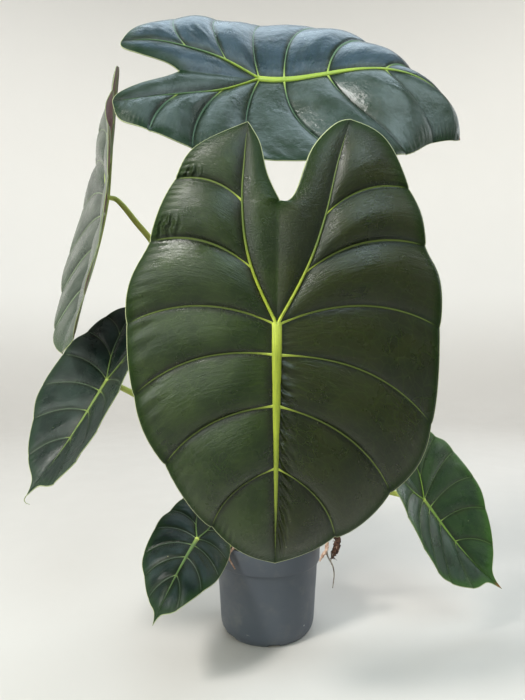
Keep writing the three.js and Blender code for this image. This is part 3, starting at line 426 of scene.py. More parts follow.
def folds(leaf, side, u, v, between):
    """Wrinkles along the side veins, ripples beside the midrib and puckers where side veins end"""
    k = half_of(side)
    m = leaf["length"]
    drift = 1.7 * np.sin(5 * v + 3 * u + side) + 1.1 * np.sin(13 * v - 4 * u)
    wrinkles = np.sin(62 * u + drift) * (0.6 + 0.4 * np.sin(9 * u + 4 * v + 2 * side))
    wrinkles *= leaf["wrinkle"] * between * np.sin(np.pi * np.clip(v, 0, 1)) ** 0.7
    near = np.exp(-v * m * 0.55 / 9) * np.minimum(1, v * m * 0.55 / 2) * np.clip(u * 8, 0, 1)
    ripples = leaf["ripple"][k] * near * np.sin(u * m * 1.25 + 2.2 * np.sin(u * 17)) * between
    at_edge = np.exp(-((v - 0.88) / 0.09) ** 2) * np.clip((1 - np.abs(u)) * 4, 0, 1)
    puckers = leaf["pucker"][k] * at_edge * np.sin(u * m * 0.95 + 1.5 * np.sin(23 * u))
    puckers *= 0.35 + 0.65 * (1 - between)
    return wrinkles + ripples + puckers


def curled(leaf, x, ahead, h):
    """Curls each half about the spine: the way across and the height that come of it"""
    k = (x < 0).astype(int)
    side = np.where(x < 0, -1, 1)
    slope = np.asarray(leaf["slope"])[k] + np.asarray(leaf["fold"])[k] * ahead ** 2
    curl = np.asarray(leaf["curl"])[k] / leaf["length"]
    angle = slope + curl * np.abs(x)
    across = side * ((np.sin(angle) - np.sin(slope)) / curl + h * np.sin(angle))
    return across, (np.cos(angle) - np.cos(slope)) / curl + h * np.cos(angle)


def bend(leaf, flat, h):
    """Bends the flat leaf: h is the height over the blade's middle, toward the face"""
    m = leaf["length"]
    y = flat[:, 1]
    shift = spine_shift(leaf, y / m) * m
    x = flat[:, 0] - shift
    x = np.where(np.abs(x) < 1e-6, 0, x)
    across, out = curled(leaf, x, np.maximum(y, 0) / m, h)
    across += shift
    t = np.abs(y) / m
    forward_side = y > 0
    turn = np.where(forward_side, leaf["twist"][0], leaf["twist"][1]) * t
    sideways = across * np.cos(turn) + out * np.sin(turn)
    height = out * np.cos(turn) - across * np.sin(turn)
    first = np.where(forward_side, leaf["front"][0], leaf["back"][0])
    second = np.where(forward_side, leaf["front"][1], leaf["back"][1])
    forward = np.zeros_like(y)
    rise = np.zeros_like(y)
    for i in range(BEND_PARTS):
        q = t * (i + 0.5) / BEND_PARTS
        pitch = first * q + second * q * q
        forward += np.cos(pitch) * t / BEND_PARTS
        rise -= np.sin(pitch) * t / BEND_PARTS
    end = first * t + second * t * t
    along = (forward * m + height * np.sin(end)) * np.where(forward_side, 1, -1)
    return np.stack([sideways, along, rise * m + height * np.cos(end)], 1)


def axes_of(leaf):
    tip = Vector(leaf["tip"]).normalized()
    face = Vector(leaf["face"])
    face = (face - tip * face.dot(tip)).normalized()
    return np.array([tip.cross(face), tip, face])


def placed(leaf, cells, h):
    """World points of cells of the leaf at height h over the blade"""
    local = bend(leaf, cells["flat"], cells["lift"] + h)
    return local @ axes_of(leaf) + np.asarray(leaf["junction"])


# Sheets on the leaf

def weld(leaf, grids):
    """One sheet from grids of (side, inner, u, v, crest); places that meet become one"""
    flats, lifts, values, quads = [], [], [], []
    start = 0
    for side, inner, u, v, crest in grids:
        rows, columns = u.shape
        u1, v1 = u.ravel(), v.ravel()
        flat = flat_points(leaf, side, u1, v1, inner)
        flats.append(flat)
        lifts.append(relief(leaf, side, u1, v1, inner))
        half = 0 * u1 + (0.4 * side if inner else side)
        values.append(np.stack([u1, v1, crest.ravel(), *distances(leaf, side, u1, v1, inner, flat), half]))
        index = start + np.arange(rows * columns).reshape(rows, columns)
        corners = [index[:-1, :-1], index[1:, :-1], index[1:, 1:], index[:-1, 1:]]
        quads.append(np.stack(corners, -1).reshape(-1, 4))
        start += rows * columns
    flat = np.concatenate(flats)
    keys = np.round(flat * 1000).astype(np.int64)
    _, first, back = np.unique(keys, axis=0, return_index=True, return_inverse=True)
    cells = dict(zip(("along", "across", "crest", *BLADE_VALUES[2:]), np.concatenate(values, 1)[:, first]))
    faces = faces_of(back.ravel()[np.concatenate(quads)], flat[first])
    return dict(cells, flat=flat[first], lift=np.concatenate(lifts)[first], faces=faces)


def distances(leaf, side, u, v, inner, flat):
    """Millimetres to the nearest side vein, to the main vein and to the edge"""
    def gap_to(at_u, at_v):
        return np.linalg.norm(flat - flat_points(leaf, side, at_u, at_v, inner), axis=1)
    to_side = np.full(len(u), 40.0)
    if not inner:
        beyond = np.maximum(v - SIDE_VEIN_END, 0) * 40
        for vein in SIDE_VEINS:
            to_side = np.minimum(to_side, gap_to(0 * u + vein, v) + beyond)
    edge_u = np.minimum(u, SINUS_STEPS[-1]) if inner else u
    return to_side, gap_to(u, 0 * v), gap_to(edge_u, 0 * v + 1)


def faces_of(quads, flat):
    """Faces that all turn the same way on the flat leaf, with repeated corners dropped"""
    a, b, c, d = (flat[quads[:, i]] for i in range(4))
    area = ((c - a)[:, 0] * (d - b)[:, 1] - (c - a)[:, 1] * (d - b)[:, 0])
    faces = []
    for quad, turned in zip(quads.tolist(), area < 0):
        corners = [p for i, p in enumerate(quad) if p != quad[i - 1]]
        if len(set(corners)) >= 3:
            faces.append(corners[::-1] if turned else corners)
    return faces


def open_edges(faces):
    edges = {(p, face[(i + 1) % len(face)]) for face in faces for i, p in enumerate(face)}
    return [(a, b) for a, b in edges if (b, a) not in edges]


def closed_sheet(faces, count):
    """Faces of a body whose upper points come first and whose lower points follow, and which are rims"""
    lower = [[p + count for p in reversed(face)] for face in faces]
    rim = [[b, a, a + count, b + count] for a, b in open_edges(faces)]
    return faces + lower + rim, [0] * len(faces) + [1] * len(lower) + [2] * len(rim)


def panel_steps(lowest, highest, per_panel):
    steps = [VEINS[i] + (VEINS[i + 1] - VEINS[i]) * j / per_panel
             for i in range(len(VEINS) - 1) for j in range(per_panel)] + [1]
    return np.array([u for u in steps if lowest - 1e-9 <= u <= highest + 1e-9])


def blade_cells(leaf):
    grids = []
    us = panel_steps(-1, 1, leaf["steps"])
    vs = np.linspace(0, 1, leaf["rows"] + 1)
    lobe_us = panel_steps(-1, 0, leaf["steps"])
    lobe_vs = np.linspace(0, 1, leaf["lobe_rows"] + 1)
    for side in (1, -1):
        for inner, a, b in ((False, us, vs), (True, lobe_us, lobe_vs)):
            u, v = np.meshgrid(a, b, indexing="ij")
            grids.append((side, inner, u, v, 0 * u))
    return weld(leaf, grids)


def size_of(leaf, start, end, way):
    """Tapers with the way along a vein; small leaves have finer veins"""
    scale = max(LEAST_VEIN_SCALE, min(1, leaf["length"] / FULL_VEINS_LENGTH))
    return np.maximum(end, (start + (end - start) * way) * scale)


def rib_reach(leaf, half, u):
    """Half the width of the main vein, which is narrower in the lobes"""
    return size_of(leaf, half, MAIN_VEIN_END_HALF, np.abs(u)) * np.where(u < 0, 0.5, 1)


def main_vein_cells(leaf, half):
    """Grids over the main veins, with the crest's height as a part of the full height"""
    grids = []
    columns = np.linspace(0, 1, VEIN_COLUMNS)
    lobe_end, tip_end = MAIN_VEIN_ENDS
    for side in (1, -1):
        for inner in (False, True):
            us = np.linspace(lobe_end, 0 if inner else tip_end, MAIN_VEIN_STEPS)
            us = np.unique(np.round(np.concatenate([us, [0]]), 9))
            ends = np.stack([us - lobe_end, tip_end - us]) * MAIN_VEIN_TAPER
            taper = np.sqrt(np.prod(np.clip(ends, 0, 1), axis=0))
            width = np.maximum(0.01, width_of(leaf, side, us, inner))
            part = np.minimum(0.8, rib_reach(leaf, half, us) * taper / width)
            u = np.repeat(us[:, None], len(columns), 1)
            crest = np.sqrt(1 - columns ** 2) * taper[:, None]
            grids.append((side, inner, u, part[:, None] * columns, crest))
    return weld(leaf, grids)


def side_vein_cells(leaf, side, vein, scale):
    columns = np.linspace(-1, 1, VEIN_COLUMNS)
    vs = SIDE_VEIN_END * np.linspace(0, 1, SIDE_VEIN_STEPS) ** 1.15
    before = flat_points(leaf, side, 0 * vs + vein - 0.01, vs, False)
    after = flat_points(leaf, side, 0 * vs + vein + 0.01, vs, False)
    per_mm = 0.02 / np.linalg.norm(after - before, axis=1)
    flare = 1 + 1.8 * np.exp(-vs * leaf["length"] * 0.5 / 6)
    end = np.clip((SIDE_VEIN_END - vs) * 12, 0.02, 1) ** 0.5
    half = size_of(leaf, SIDE_VEIN_HALF, SIDE_VEIN_END_HALF, vs) * leaf["vein_width"] * scale
    half *= flare * end * per_mm
    v = np.repeat(vs[:, None], len(columns), 1)
    crest = np.sqrt(1 - columns ** 2) * end[:, None]
    return weld(leaf, [(side, False, vein + half[:, None] * columns, v, crest)])


def add_ridge(body, leaf, cells, height, base, sign, thin=0):
    """A vein that stands sign times its height over base, sunk a little at its sides"""
    along, crest = cells["along"], cells["crest"]
    full = size_of(leaf, height, RIDGE_END_HEIGHT, np.abs(along))
    over = placed(leaf, cells, base + sign * (crest * (full + RIDGE_SINK) - RIDGE_SINK))
    under = placed(leaf, cells, base - sign * (RIDGE_SINK + 0.1))
    faces, _ = closed_sheet(cells["faces"], len(crest))
    if sign < 0:
        faces = turned_over(faces)
    way = cells["across"] if thin else np.where(along < 0, -2.2 * along, along)
    turn = cells["to_main"] * cells["side"] * 0.12
    values = np.stack([way, crest, 0 * way + thin, turn], 1)
    body.add(np.concatenate([over, under]), faces, np.tile(values, (2, 1)))


# Tubes and bodies of revolution

def circle(radius, level, sides):
    turns = [2 * math.pi * j / sides for j in range(sides)]
    return [[radius * math.cos(t), radius * math.sin(t), level] for t in turns]


def bands(first, rings, sides):
    """Faces between rings of points that follow one another"""
    faces = []
    for start in range(first, first + (rings - 1) * sides, sides):
        for j in range(sides):
            a, b = start + j, start + (j + 1) % sides
            faces.append([a, b, b + sides, a + sides])
    return faces


def fan(tip, first, sides):
    return [[tip, first + j, first + (j + 1) % sides] for j in range(sides)]


def turned_over(faces):
    return [face[::-1] for face in faces]


def lathe(profile, sides):
    """Closed body of revolution from a profile that starts and ends on the axis"""
    points = [[0, 0, profile[0][1]]]
    for r, z in profile[1:-1]:
        points += circle(r, z, sides)
    points.append([0, 0, profile[-1][1]])
    end = len(points) - 1
    faces = turned_over(fan(0, 1, sides)) + bands(1, len(profile) - 2, sides)
    faces += fan(end, end - sides, sides)
    return np.array(points, float), faces


def blend(t, start, end, a, b):
    return (end - t) / (end - start) * a + (t - start) / (end - start) * b


def spline(points, per_span):
    """Centripetal curve through points, with the part of the way to the last point for each step"""
    p = [np.asarray(q, float) for q in points]
    p = [2 * p[0] - p[1]] + p + [2 * p[-1] - p[-2]]
    made, ways = [], []
    spans = len(points) - 1
    for i in range(spans):
        a, b, c, d = p[i:i + 4]
        t0 = 0
        t1 = t0 + max(1e-6, np.linalg.norm(b - a)) ** 0.5
        t2 = t1 + max(1e-6, np.linalg.norm(c - b)) ** 0.5
        t3 = t2 + max(1e-6, np.linalg.norm(d - c)) ** 0.5
        for j in range(per_span + (i == spans - 1)):
            t = t1 + (t2 - t1) * j / per_span
            bc = blend(t, t1, t2, b, c)
            abc = blend(t, t0, t2, blend(t, t0, t1, a, b), bc)
            bcd = blend(t, t1, t3, bc, blend(t, t2, t3, c, d))
            made.append(blend(t, t1, t2, abc, bcd))
            ways.append((i + j / per_span) / spans)
    return np.array(made), np.array(ways)


def tube(points, radii, sides, per_span, roughness=0, seed=0):
    """Closed round tube; roughness swells and pinches it as a part of its radius"""
    centres, ways = spline(points, per_span)
    radius = np.interp(ways, np.linspace(0, 1, len(radii)), radii)
    tangents = np.gradient(centres, axis=0)
    tangents /= np.linalg.norm(tangents, axis=1)[:, None]
    across = np.array([1.0, 0, 0])
    rings = []
    for i, (centre, along) in enumerate(zip(centres, tangents)):
        across = across - along * (across @ along)
        across /= np.linalg.norm(across)
        up = np.cross(along, across)
        for j in range(sides):
            angle = 2 * math.pi * j / sides
            out = across * math.cos(angle) + up * math.sin(angle)
            swell = 1 + roughness * noise.noise(Vector(centre * 0.45 + out * 1.4) + Vector((seed, 0, 0)))
            rings.append(centre + out * radius[i] * swell)
    end = len(rings)
    rings += [centres[0], centres[-1] + tangents[-1] * radius[-1] * 0.5]
    faces = bands(0, len(centres), sides) + turned_over(fan(end, 0, sides))
    faces += fan(end + 1, end - sides, sides)
    return np.array(rings), faces, np.concatenate([np.repeat(ways, sides), [0, 1]])


# Mesh objects

def new_mesh(name, points, faces):
    mesh = bpy.data.meshes.new(name)
    mesh.from_pydata(points, [], faces)
    return mesh


def link(name, data):
    made = bpy.data.objects.new(name, data)
    bpy.context.scene.collection.objects.link(made)
    return made


class Body:
    """Gathers closed bodies into one mesh, with values that its materials read"""

    def __init__(self, name, value_names=()):
        self.name = name
        self.value_names = value_names
        self.points, self.faces, self.values, self.slots = [], [], [], []
        self.count = 0

    def add(self, points, faces, values=None, slots=0):
        self.points.append(np.asarray(points))
        self.faces += [[p + self.count for p in face] for face in faces]
        if values is None:
            values = np.zeros((len(points), len(self.value_names)))
        self.values.append(values)
        self.slots += slots if isinstance(slots, list) else [slots] * len(faces)
        self.count += len(points)

    def make(self, materials, replaces=()):
        mesh = new_mesh(self.name, (np.concatenate(self.points) * MM).tolist(), self.faces)
        for material in materials:
            mesh.materials.append(material)
        mesh.polygons.foreach_set("material_index", self.slots)
        mesh.polygons.foreach_set("use_smooth", [True] * len(self.faces))
        for name, values in zip(self.value_names, np.concatenate(self.values).T):
            mesh.attributes.new(name, "FLOAT", "POINT").data.foreach_set("value", values.astype(np.float32))
        mesh.update()
        made = link(self.name, mesh)
        if replaces:
            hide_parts(*replaces)
        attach(made, "root")
        return made


# Materials

class Paint:
    """A procedural material: colours are laid over each other and bumps follow one another"""

    def __init__(self, name, specular=0.5):
        self.material = bpy.data.materials.new(name)
        self.material.use_nodes = True
        self.tree = self.material.node_tree
        self.shader = self.tree.nodes["Principled BSDF"]
        self.shader.inputs["Specular IOR Level"].default_value = specular
        self.place = self.node("TexCoord").outputs["Object"]
        self.color = None
        self.normal = None

    def node(self, kind, settings=None, **inputs):
        made = self.tree.nodes.new("ShaderNode" + kind)
        for key, value in (settings or {}).items():
            setattr(made, key, value)
        for key, value in inputs.items():
            self.plug(made.inputs[key], value)
        return made

    def plug(self, socket, value):
        if isinstance(value, bpy.types.NodeSocket):
            self.tree.links.new(value, socket)
        elif socket.type == "RGBA":
            socket.default_value = srgb(*value)
        else:
            socket.default_value = value

    def math(self, operation, a, b=0):
        made = self.node("Math", {"operation": operation})
        self.plug(made.inputs[0], a)
        self.plug(made.inputs[1], b)
        return made.outputs[0]

    def plus(self, a, b):
        return self.math("ADD", a, b)

    def times(self, a, b, *more):
        product = self.math("MULTIPLY", a, b)
        return self.times(product, *more) if more else product

    def value(self, name):
        return self.node("Attribute", {"attribute_name": name}).outputs["Fac"]

    def distances(self):
        return [self.value(name) for name in ("to_side", "to_main", "to_edge")]

    def grid(self, rates, names=("along", "across")):
        """Place in cells along and across a blade or stalk, given how many there are each way"""
        made = self.node("CombineXYZ")
        for socket, name, rate in zip(made.inputs, names, rates):
            self.plug(socket, self.times(self.value(name), rate))
        return made.outputs[0]

    def turned(self, scale, rotation):
        return self.node("Mapping", Vector=self.place, Scale=scale, Rotation=rotation).outputs[0]

    def part(self, axis):
        return self.node("SeparateXYZ", Vector=self.place).outputs[axis]

    def noise(self, scale, detail=3, roughness=0.55, distortion=0, place=None):
        return self.node("TexNoise", Vector=place or self.place, Scale=scale, Detail=detail,
                         Roughness=roughness, Distortion=distortion).outputs["Fac"]

    def clouds(self, scale, detail, *ends, **more):
        return self.step(self.noise(scale, detail, **more), *ends)

    def cells(self, scale, feature="F1", place=None):
        return self.node("TexVoronoi", {"feature": feature}, Vector=place or self.place,
                         Scale=scale).outputs["Distance"]

    def step(self, value, low, high, start=0, end=1):
        """Runs smoothly from start to end as value goes from low to high"""
        made = self.node("MapRange", {"interpolation_type": "SMOOTHSTEP", "clamp": True})
        for socket, given in zip(made.inputs, (value, low, high, start, end)):
            self.plug(socket, given)
        return made.outputs[0]

    def mix(self, share, a, b):
        made = self.node("Mix", {"data_type": "RGBA"})
        self.plug(made.inputs[0], share)
        self.plug(made.inputs[6], a)
        self.plug(made.inputs[7], b)
        return made.outputs[2]

    def start(self, share, colors):
        self.color = self.mix(share, *colors)

    def over(self, share, color):
        self.color = self.mix(share, self.color, color)

    def bump(self, height, distance, strength=1):
        made = self.node("Bump", Strength=strength, Distance=distance, Height=height)
        if self.normal:
            self.plug(made.inputs["Normal"], self.normal)
        self.normal = made.outputs[0]

    def done(self, roughness):
        for name, value in (("Base Color", self.color), ("Roughness", roughness), ("Normal", self.normal)):
            if value:
                self.plug(self.shader.inputs[name], value)
        return self.material


def upper_material(leaf):
    """Glossy leathery upper face, duller where it turns down at its edge"""
    paint = Paint(leaf["name"] + "_leaf_upper")
    net = vein_net(paint)
    upper_color(paint, leaf, net)
    upper_relief(paint, leaf, net)
    shine = paint.step(paint.value("to_edge"), 1, 13, leaf["shine"] * leaf["edge_shine"], leaf["shine"])
    paint.plug(paint.shader.inputs["Specular IOR Level"], shine)
    paint.plug(paint.shader.inputs["Coat Weight"], leaf["coat"])
    paint.plug(paint.shader.inputs["Coat Roughness"], COAT_ROUGHNESS)
    return paint.done(paint.clouds(34, 4, 0.3, 0.7, *leaf["gloss"]))


def vein_net(paint):
    """Distance to the net of fine veins that fills a blade"""
    return paint.cells(1, "DISTANCE_TO_EDGE", paint.grid(NET_CELLS))


def upper_color(paint, leaf, net):
    """Cloudy green, greener edges, the leaf's tone with a painted sheen between the veins, painted shade in
    the creases beside the veins, pale vein lines, specks and dry places
    """
    along = paint.value("along")
    to_side, to_main, to_edge = paint.distances()
    paint.start(paint.clouds(26, 4, 0.36, 0.66), (leaf["main"], leaf["second"]))
    border = paint.plus(to_edge, paint.times(paint.noise(40), 30))
    paint.over(paint.step(border, 12, 52, 0.6, 0), leaf["edge"])
    # The leaf's tone with a painted sheen over it, between the veins
    if leaf["tone_and_sheen"]:
        paint.over(tone_and_sheen_share(paint, leaf), tone_and_sheen_color(paint, leaf))
    paint.over(paint.clouds(3.2, 5, 0.42, 0.72, 0, 0.25, place=paint.grid(STREAK_CELLS)), leaf["edge"])
    uneven = paint.noise(60)
    paint.over(paint.step(to_edge, 0, paint.times(uneven, 26), 0.85, 0), leaf["edge"])
    # Painted shade: the creases beside the side veins and the main veins are darkened, less toward the tip
    crease_shade_strength = paint.step(along, 0.6, 0.9, 0.55, 0)
    paint.over(paint.times(paint.step(to_side, 0.9, 4, 1, 0), crease_shade_strength), PAINTED_CREASE_SHADE)
    paint.over(paint.times(paint.step(to_main, 2, 8, 1, 0), crease_shade_strength), PAINTED_CREASE_SHADE)
    paint.over(paint.step(to_side, 0.3, 1.2, 0.55, 0), leaf["halo"])
    paint.over(paint.step(net, 0, 0.06, 0.16, 0), leaf["halo"])
    specks = paint.step(paint.cells(62), 0.02, 0.045, 0.65, 0)
    paint.over(paint.times(specks, paint.clouds(18, 1, 0.56, 0.6)), SPECK)
    if leaf["blemish"]:
        paint.over(blemish_share(paint, leaf), DRY_SPOT)
    paint.over(paint.step(to_edge, 0.35, 0.75, 1, 0), HORNY_EDGE)
    if leaf["brown_tip"]:
        toward_tip = paint.plus(along, paint.times(uneven, 0.03))
        paint.over(paint.step(toward_tip, 0.955, 0.99, 0, leaf["brown_tip"]), DRY_TIP)


def upper_relief(paint, leaf, net):
    """Pores, slow swells, creases along the side veins, and what folds and dents the leaf has"""
    paint.bump(paint.noise(1500, 2), 0.00005, 0.7)
    paint.bump(paint.noise(120), leaf["swell"], 0.4)
    creases = paint.noise(1, 5, 0.65, 0.6, paint.grid(CREASE_CELLS))
    paint.bump(creases, leaf["crinkle"], 0.7)
    if leaf["rib_folds"]:
        paint.bump(rib_fold_height(paint, leaf), 0.0014)
    for dent in leaf["dents"]:
        paint.bump(dent_height(paint, *dent), 0.0015)
    paint.bump(paint.step(net, 0, 0.12), 0.00006, 0.5)


def tone_and_sheen_share(paint, leaf):
    """How far the tone and painted sheen between the veins show: full midway between two veins, none at the
    veins
    """
    to_side, to_main, to_edge = paint.distances()
    uneven = paint.times(paint.noise(55, 4), 9)
    from_side = paint.step(paint.plus(to_side, uneven), 5, 10)
    from_main = paint.step(paint.plus(to_main, uneven), 6, 15)
    from_edge = paint.step(paint.plus(to_edge, uneven), *leaf["tone_and_sheen_margin"], leaf["tone_and_sheen_at_edge"])
    return paint.times(from_side, from_main, from_edge)


# Painted sheen between the veins, with its own colours on each half of the blade
def tone_and_sheen_color(paint, leaf):
    cloud = paint.clouds(32, 4, 0.35, 0.65)
    first, second = (paint.mix(cloud, *colors) for colors in leaf["tone_and_sheen"])
    return paint.mix(paint.step(paint.value("side"), -0.3, 0.3), second, first)


def on_side(paint, side):
    """Full on one half of the blade and none on the other"""
    return paint.step(paint.times(paint.value("side"), side), 0.5, 0.9)


def nearness(paint, name, middle, reach):
    away = paint.math("ABSOLUTE", paint.math("SUBTRACT", paint.value(name), middle))
    return paint.step(away, 0, reach, 1, 0)


def dent_height(paint, side, along, across, reach_along, reach_across, rate):
    """Short wrinkles that lie one after another on the way to the edge"""
    near = paint.times(nearness(paint, "along", along, reach_along),
                       nearness(paint, "across", across, reach_across), on_side(paint, side))
    drift = paint.times(paint.noise(90, 2), 9)
    waves = paint.math("SINE", paint.plus(paint.times(paint.value("across"), rate), drift))
    return paint.times(waves, near)


def rib_fold_height(paint, leaf):
    """Slanted folds that stand beside the midrib on one half of the blade"""
    along, across, to_main = (paint.value(name) for name in ("along", "across", "to_main"))
    beside = paint.times(paint.step(to_main, 2.5, 5), paint.step(to_main, 6, 17, 1, 0))
    ahead = paint.times(paint.step(along, 0.08, 0.16), paint.step(along, 0.8, 0.95, 1, 0))
    slanted = paint.plus(paint.times(along, 120), paint.times(across, -24))
    waves = paint.math("SINE", paint.plus(slanted, paint.times(paint.noise(30, 2), 9)))
    return paint.times(waves, paint.times(beside, ahead, on_side(paint, leaf["rib_folds"])))


def blemish_share(paint, leaf):
    """Small dry spots, most of them near the edge of the forward half"""
    spots = paint.times(paint.step(paint.cells(85), 0.1, 0.17, 1, 0), paint.clouds(31, 1, 0.6, 0.64))
    near_edge = paint.step(paint.value("to_edge"), 5, 14, leaf["blemish"], 0)
    ahead = paint.step(paint.value("along"), 0.3, 0.5)
    return paint.times(spots, paint.times(near_edge, ahead))


def under_material(leaf):
    """Matt maroon underside, greener along the veins"""
    paint = Paint(leaf["name"] + "_leaf_under", specular=0.35)
    to_side, to_main, to_edge = paint.distances()
    net = vein_net(paint)
    paint.start(paint.clouds(30, 4, 0.35, 0.65), UNDERSIDE)
    paint.over(paint.step(net, 0, 0.07, 0.5, 0), UNDER_NET)
    paint.over(paint.step(to_side, 0.5, 4.5, 0.75, 0), UNDER_VEIN)
    paint.over(paint.step(to_main, 2, 9, 0.75, 0), UNDER_VEIN)
    paint.over(paint.step(to_edge, 0, 6, 0.6, 0), UNDER_EDGE)
    paint.bump(paint.noise(500), 0.00012, 0.6)
    paint.bump(paint.step(net, 0, 0.14, 1, 0), 0.0003, 0.7)
    return paint.done(paint.clouds(40, 3, 0.3, 0.7, 0.46, 0.64))


def margin_material():
    """Thin pale horny line along the leaf's edge"""
    paint = Paint("leaf_margin", specular=0.4)
    paint.start(paint.noise(90), MARGIN_LINE)
    paint.bump(paint.noise(700, 2), 0.0001, 0.5)
    return paint.done(paint.clouds(120, 2, 0.3, 0.7, 0.35, 0.55))


def rib_material(leaf):
    """Yellow-green veins, brightest at the junction, greener along their sides"""
    paint = Paint(leaf["name"] + "_leaf_veins", specular=0.45)
    way, thin = paint.value("way"), paint.value("thin")
    patches = paint.noise(70)
    shifted = paint.plus(way, paint.times(patches, 0.25))
    paint.start(paint.step(shifted, 0.5, 1.1), (leaf["rib_bright"], leaf["rib_end"]))
    paint.over(paint.step(paint.math("ABSOLUTE", way), 0, 0.13, leaf["heart"], 0), JUNCTION)
    paint.over(paint.times(thin, paint.step(way, 0, 0.22, 0.35, 1)), leaf["side_vein"])
    paint.over(paint.step(paint.value("crest"), 0.05, 0.4, 0.7, 0), leaf["halo"])
    fibres = paint.clouds(1.6, 4, 0.42, 0.66, 0, 0.6, place=paint.grid(FIBRE_CELLS, ("way", "turn")))
    paint.over(paint.times(fibres, paint.step(thin, 0, 1, 1, 0)), leaf["rib_end"])
    grain = paint.noise(420, 4)
    paint.over(paint.step(grain, 0.55, 0.75, 0, 0.3), leaf["rib_end"])
    paint.bump(grain, 0.00012, 0.6)
    return paint.done(paint.step(patches, 0.3, 0.7, 0.36, 0.52))


def stalk_material():
    """Fleshy yellow-green stalk: long faint streaks, brown flecks toward its foot"""
    paint = Paint("leaf_stalk", specular=0.45)
    way = paint.value("way")
    streaks = paint.grid(STALK_CELLS, ("way", "turn"))
    paint.start(paint.clouds(2, 4, 0.35, 0.65, place=streaks), STALK_COLORS)
    paint.over(paint.step(way, 0, 0.45, 0.8, 0), STALK_FOOT_COLOR)
    flecks = paint.clouds(210, 5, 0.62, 0.7, 0, 0.45)
    paint.over(paint.times(flecks, paint.step(way, 0.1, 0.8, 1, 0.2)), STALK_FLECK)
    paint.bump(paint.noise(6, place=streaks), 0.0003, 0.6)
    paint.bump(paint.noise(600, 2), 0.00008, 0.5)
    return paint.done(paint.clouds(60, 3, 0.3, 0.7, 0.34, 0.5))


def pot_material():
    """Satin blue-grey moulded plastic with dust, scuffs and fine rubbed lines"""
    paint = Paint("pot_plastic", specular=0.42)
    paint.start(paint.noise(12), POT_COLORS)
    paint.over(paint.clouds(38, 5, 0.5, 0.78, 0, 0.35, roughness=0.65), POT_DUST)
    scuffs = paint.clouds(1, 3, 0.72, 0.76, 0, 0.55, place=paint.turned((60, 60, 340), (0.3, 0.2, 0)))
    paint.over(scuffs, POT_SCUFF)
    chips = paint.step(paint.cells(48), 0.03, 0.06, 0.7, 0)
    paint.over(paint.times(chips, paint.clouds(16, 1, 0.5, 0.54)), POT_CHIP)
    paint.bump(paint.noise(700, 2), 0.00005, 0.5)
    paint.bump(scuffs, 0.00012, 0.4)
    return paint.done(paint.clouds(30, 4, 0.3, 0.7, 0.36, 0.52))


def soil_material():
    """Dark peat mix: near black when damp, brown crumbs, tan fibre where it shows at the drain slots"""
    paint = Paint("potting_soil", specular=0.2)
    grain = paint.noise(420, 6, 0.7)
    paint.start(paint.step(grain, 0.35, 0.65), SOIL_COLORS)
    paint.over(paint.clouds(160, 4, 0.55, 0.7), SOIL_CRUMB)
    paint.over(paint.step(paint.part("Z"), 0.006, 0.03, 0.9, 0), SOIL_FIBRE)
    paint.bump(grain, 0.0012, 0.9)
    return paint.done(paint.step(grain, 0.3, 0.7, 0.75, 0.95))


def fibrous_material(name):
    """Bark, roots and corm: fibres with a grain"""
    *colors, scale = FIBROUS[name]
    paint = Paint(name, specular=0.25)
    fibre = paint.noise(scale, 5, place=paint.turned((1, 0.25, 1), (0.4, 0.7, 0.5)))
    paint.start(paint.step(fibre, 0.35, 0.65), colors)
    paint.bump(fibre, 0.0006, 0.9)
    return paint.done(paint.step(fibre, 0.3, 0.7, 0.65, 0.9))


def floor_material():
    """Plain pale matt floor with painted shade that greys it in front of the plant, and a lighter wall"""
    paint = Paint("pale_floor", specular=0.3)
    paint.start(paint.noise(3), FLOOR_COLORS)
    # Painted shade: the floor before the plant is greyed, so the leaves mirror a darker room there
    paint.over(paint.step(paint.part("Y"), -0.56, -0.16, 0.62, 0), FLOOR_FRONT_SHADE)
    paint.over(paint.step(paint.part("Z"), 0.02, 0.7), WALL_COLOR)
    return paint.done(paint.clouds(14, 3, 0.3, 0.7, 0.5, 0.62))


# Leaves

def make_blade(leaf, margin):
    body = Body(leaf["name"] + "_leaf_blade", BLADE_VALUES)
    cells = blade_cells(leaf)
    top, bottom = (placed(leaf, cells, h) for h in (0, -BLADE_THICKNESS))
    faces, slots = closed_sheet(cells["faces"], len(top))
    values = np.stack([cells[name] for name in BLADE_VALUES], 1)
    body.add(np.concatenate([top, bottom]), faces, np.tile(values, (2, 1)), slots)
    if leaf["thread"]:
        end = np.array([1.0])
        tip_cell = dict(flat=flat_points(leaf, 1, end, 0 * end, False), lift=0)
        tip = placed(leaf, tip_cell, -BLADE_THICKNESS / 2)[0]
        points, faces, _ = tube([tip + np.array(p) for p in leaf["thread"]], THREAD_RADII, 8, 8)
        body.add(points, faces, slots=2)
    return body.make([upper_material(leaf), under_material(leaf), margin],
                     ["leaf_%s_blade" % leaf["name"]])


def stalk_path(leaf):
    junction = np.asarray(leaf["junction"])
    ends = [junction + axes_of(leaf)[2] * d for d in STALK_APPROACH]
    foot, *rest = leaf["stalk"]
    return [foot, [foot[0], foot[1], SOIL_EDGE_LEVEL - 3], *rest, *ends]


def stalk_radii(leaf, count):
    thin = STALK_TOP_RADIUS - 0.2 if leaf["length"] < SMALL_LEAF else STALK_TOP_RADIUS
    radii = []
    for i in range(count):
        way = max(0, i - 2) / (count - 1)
        radii.append(max(thin, STALK_FOOT_RADIUS - (STALK_FOOT_RADIUS - thin) * way * STALK_TAPER))
    radii[-1] *= 0.7
    return radii


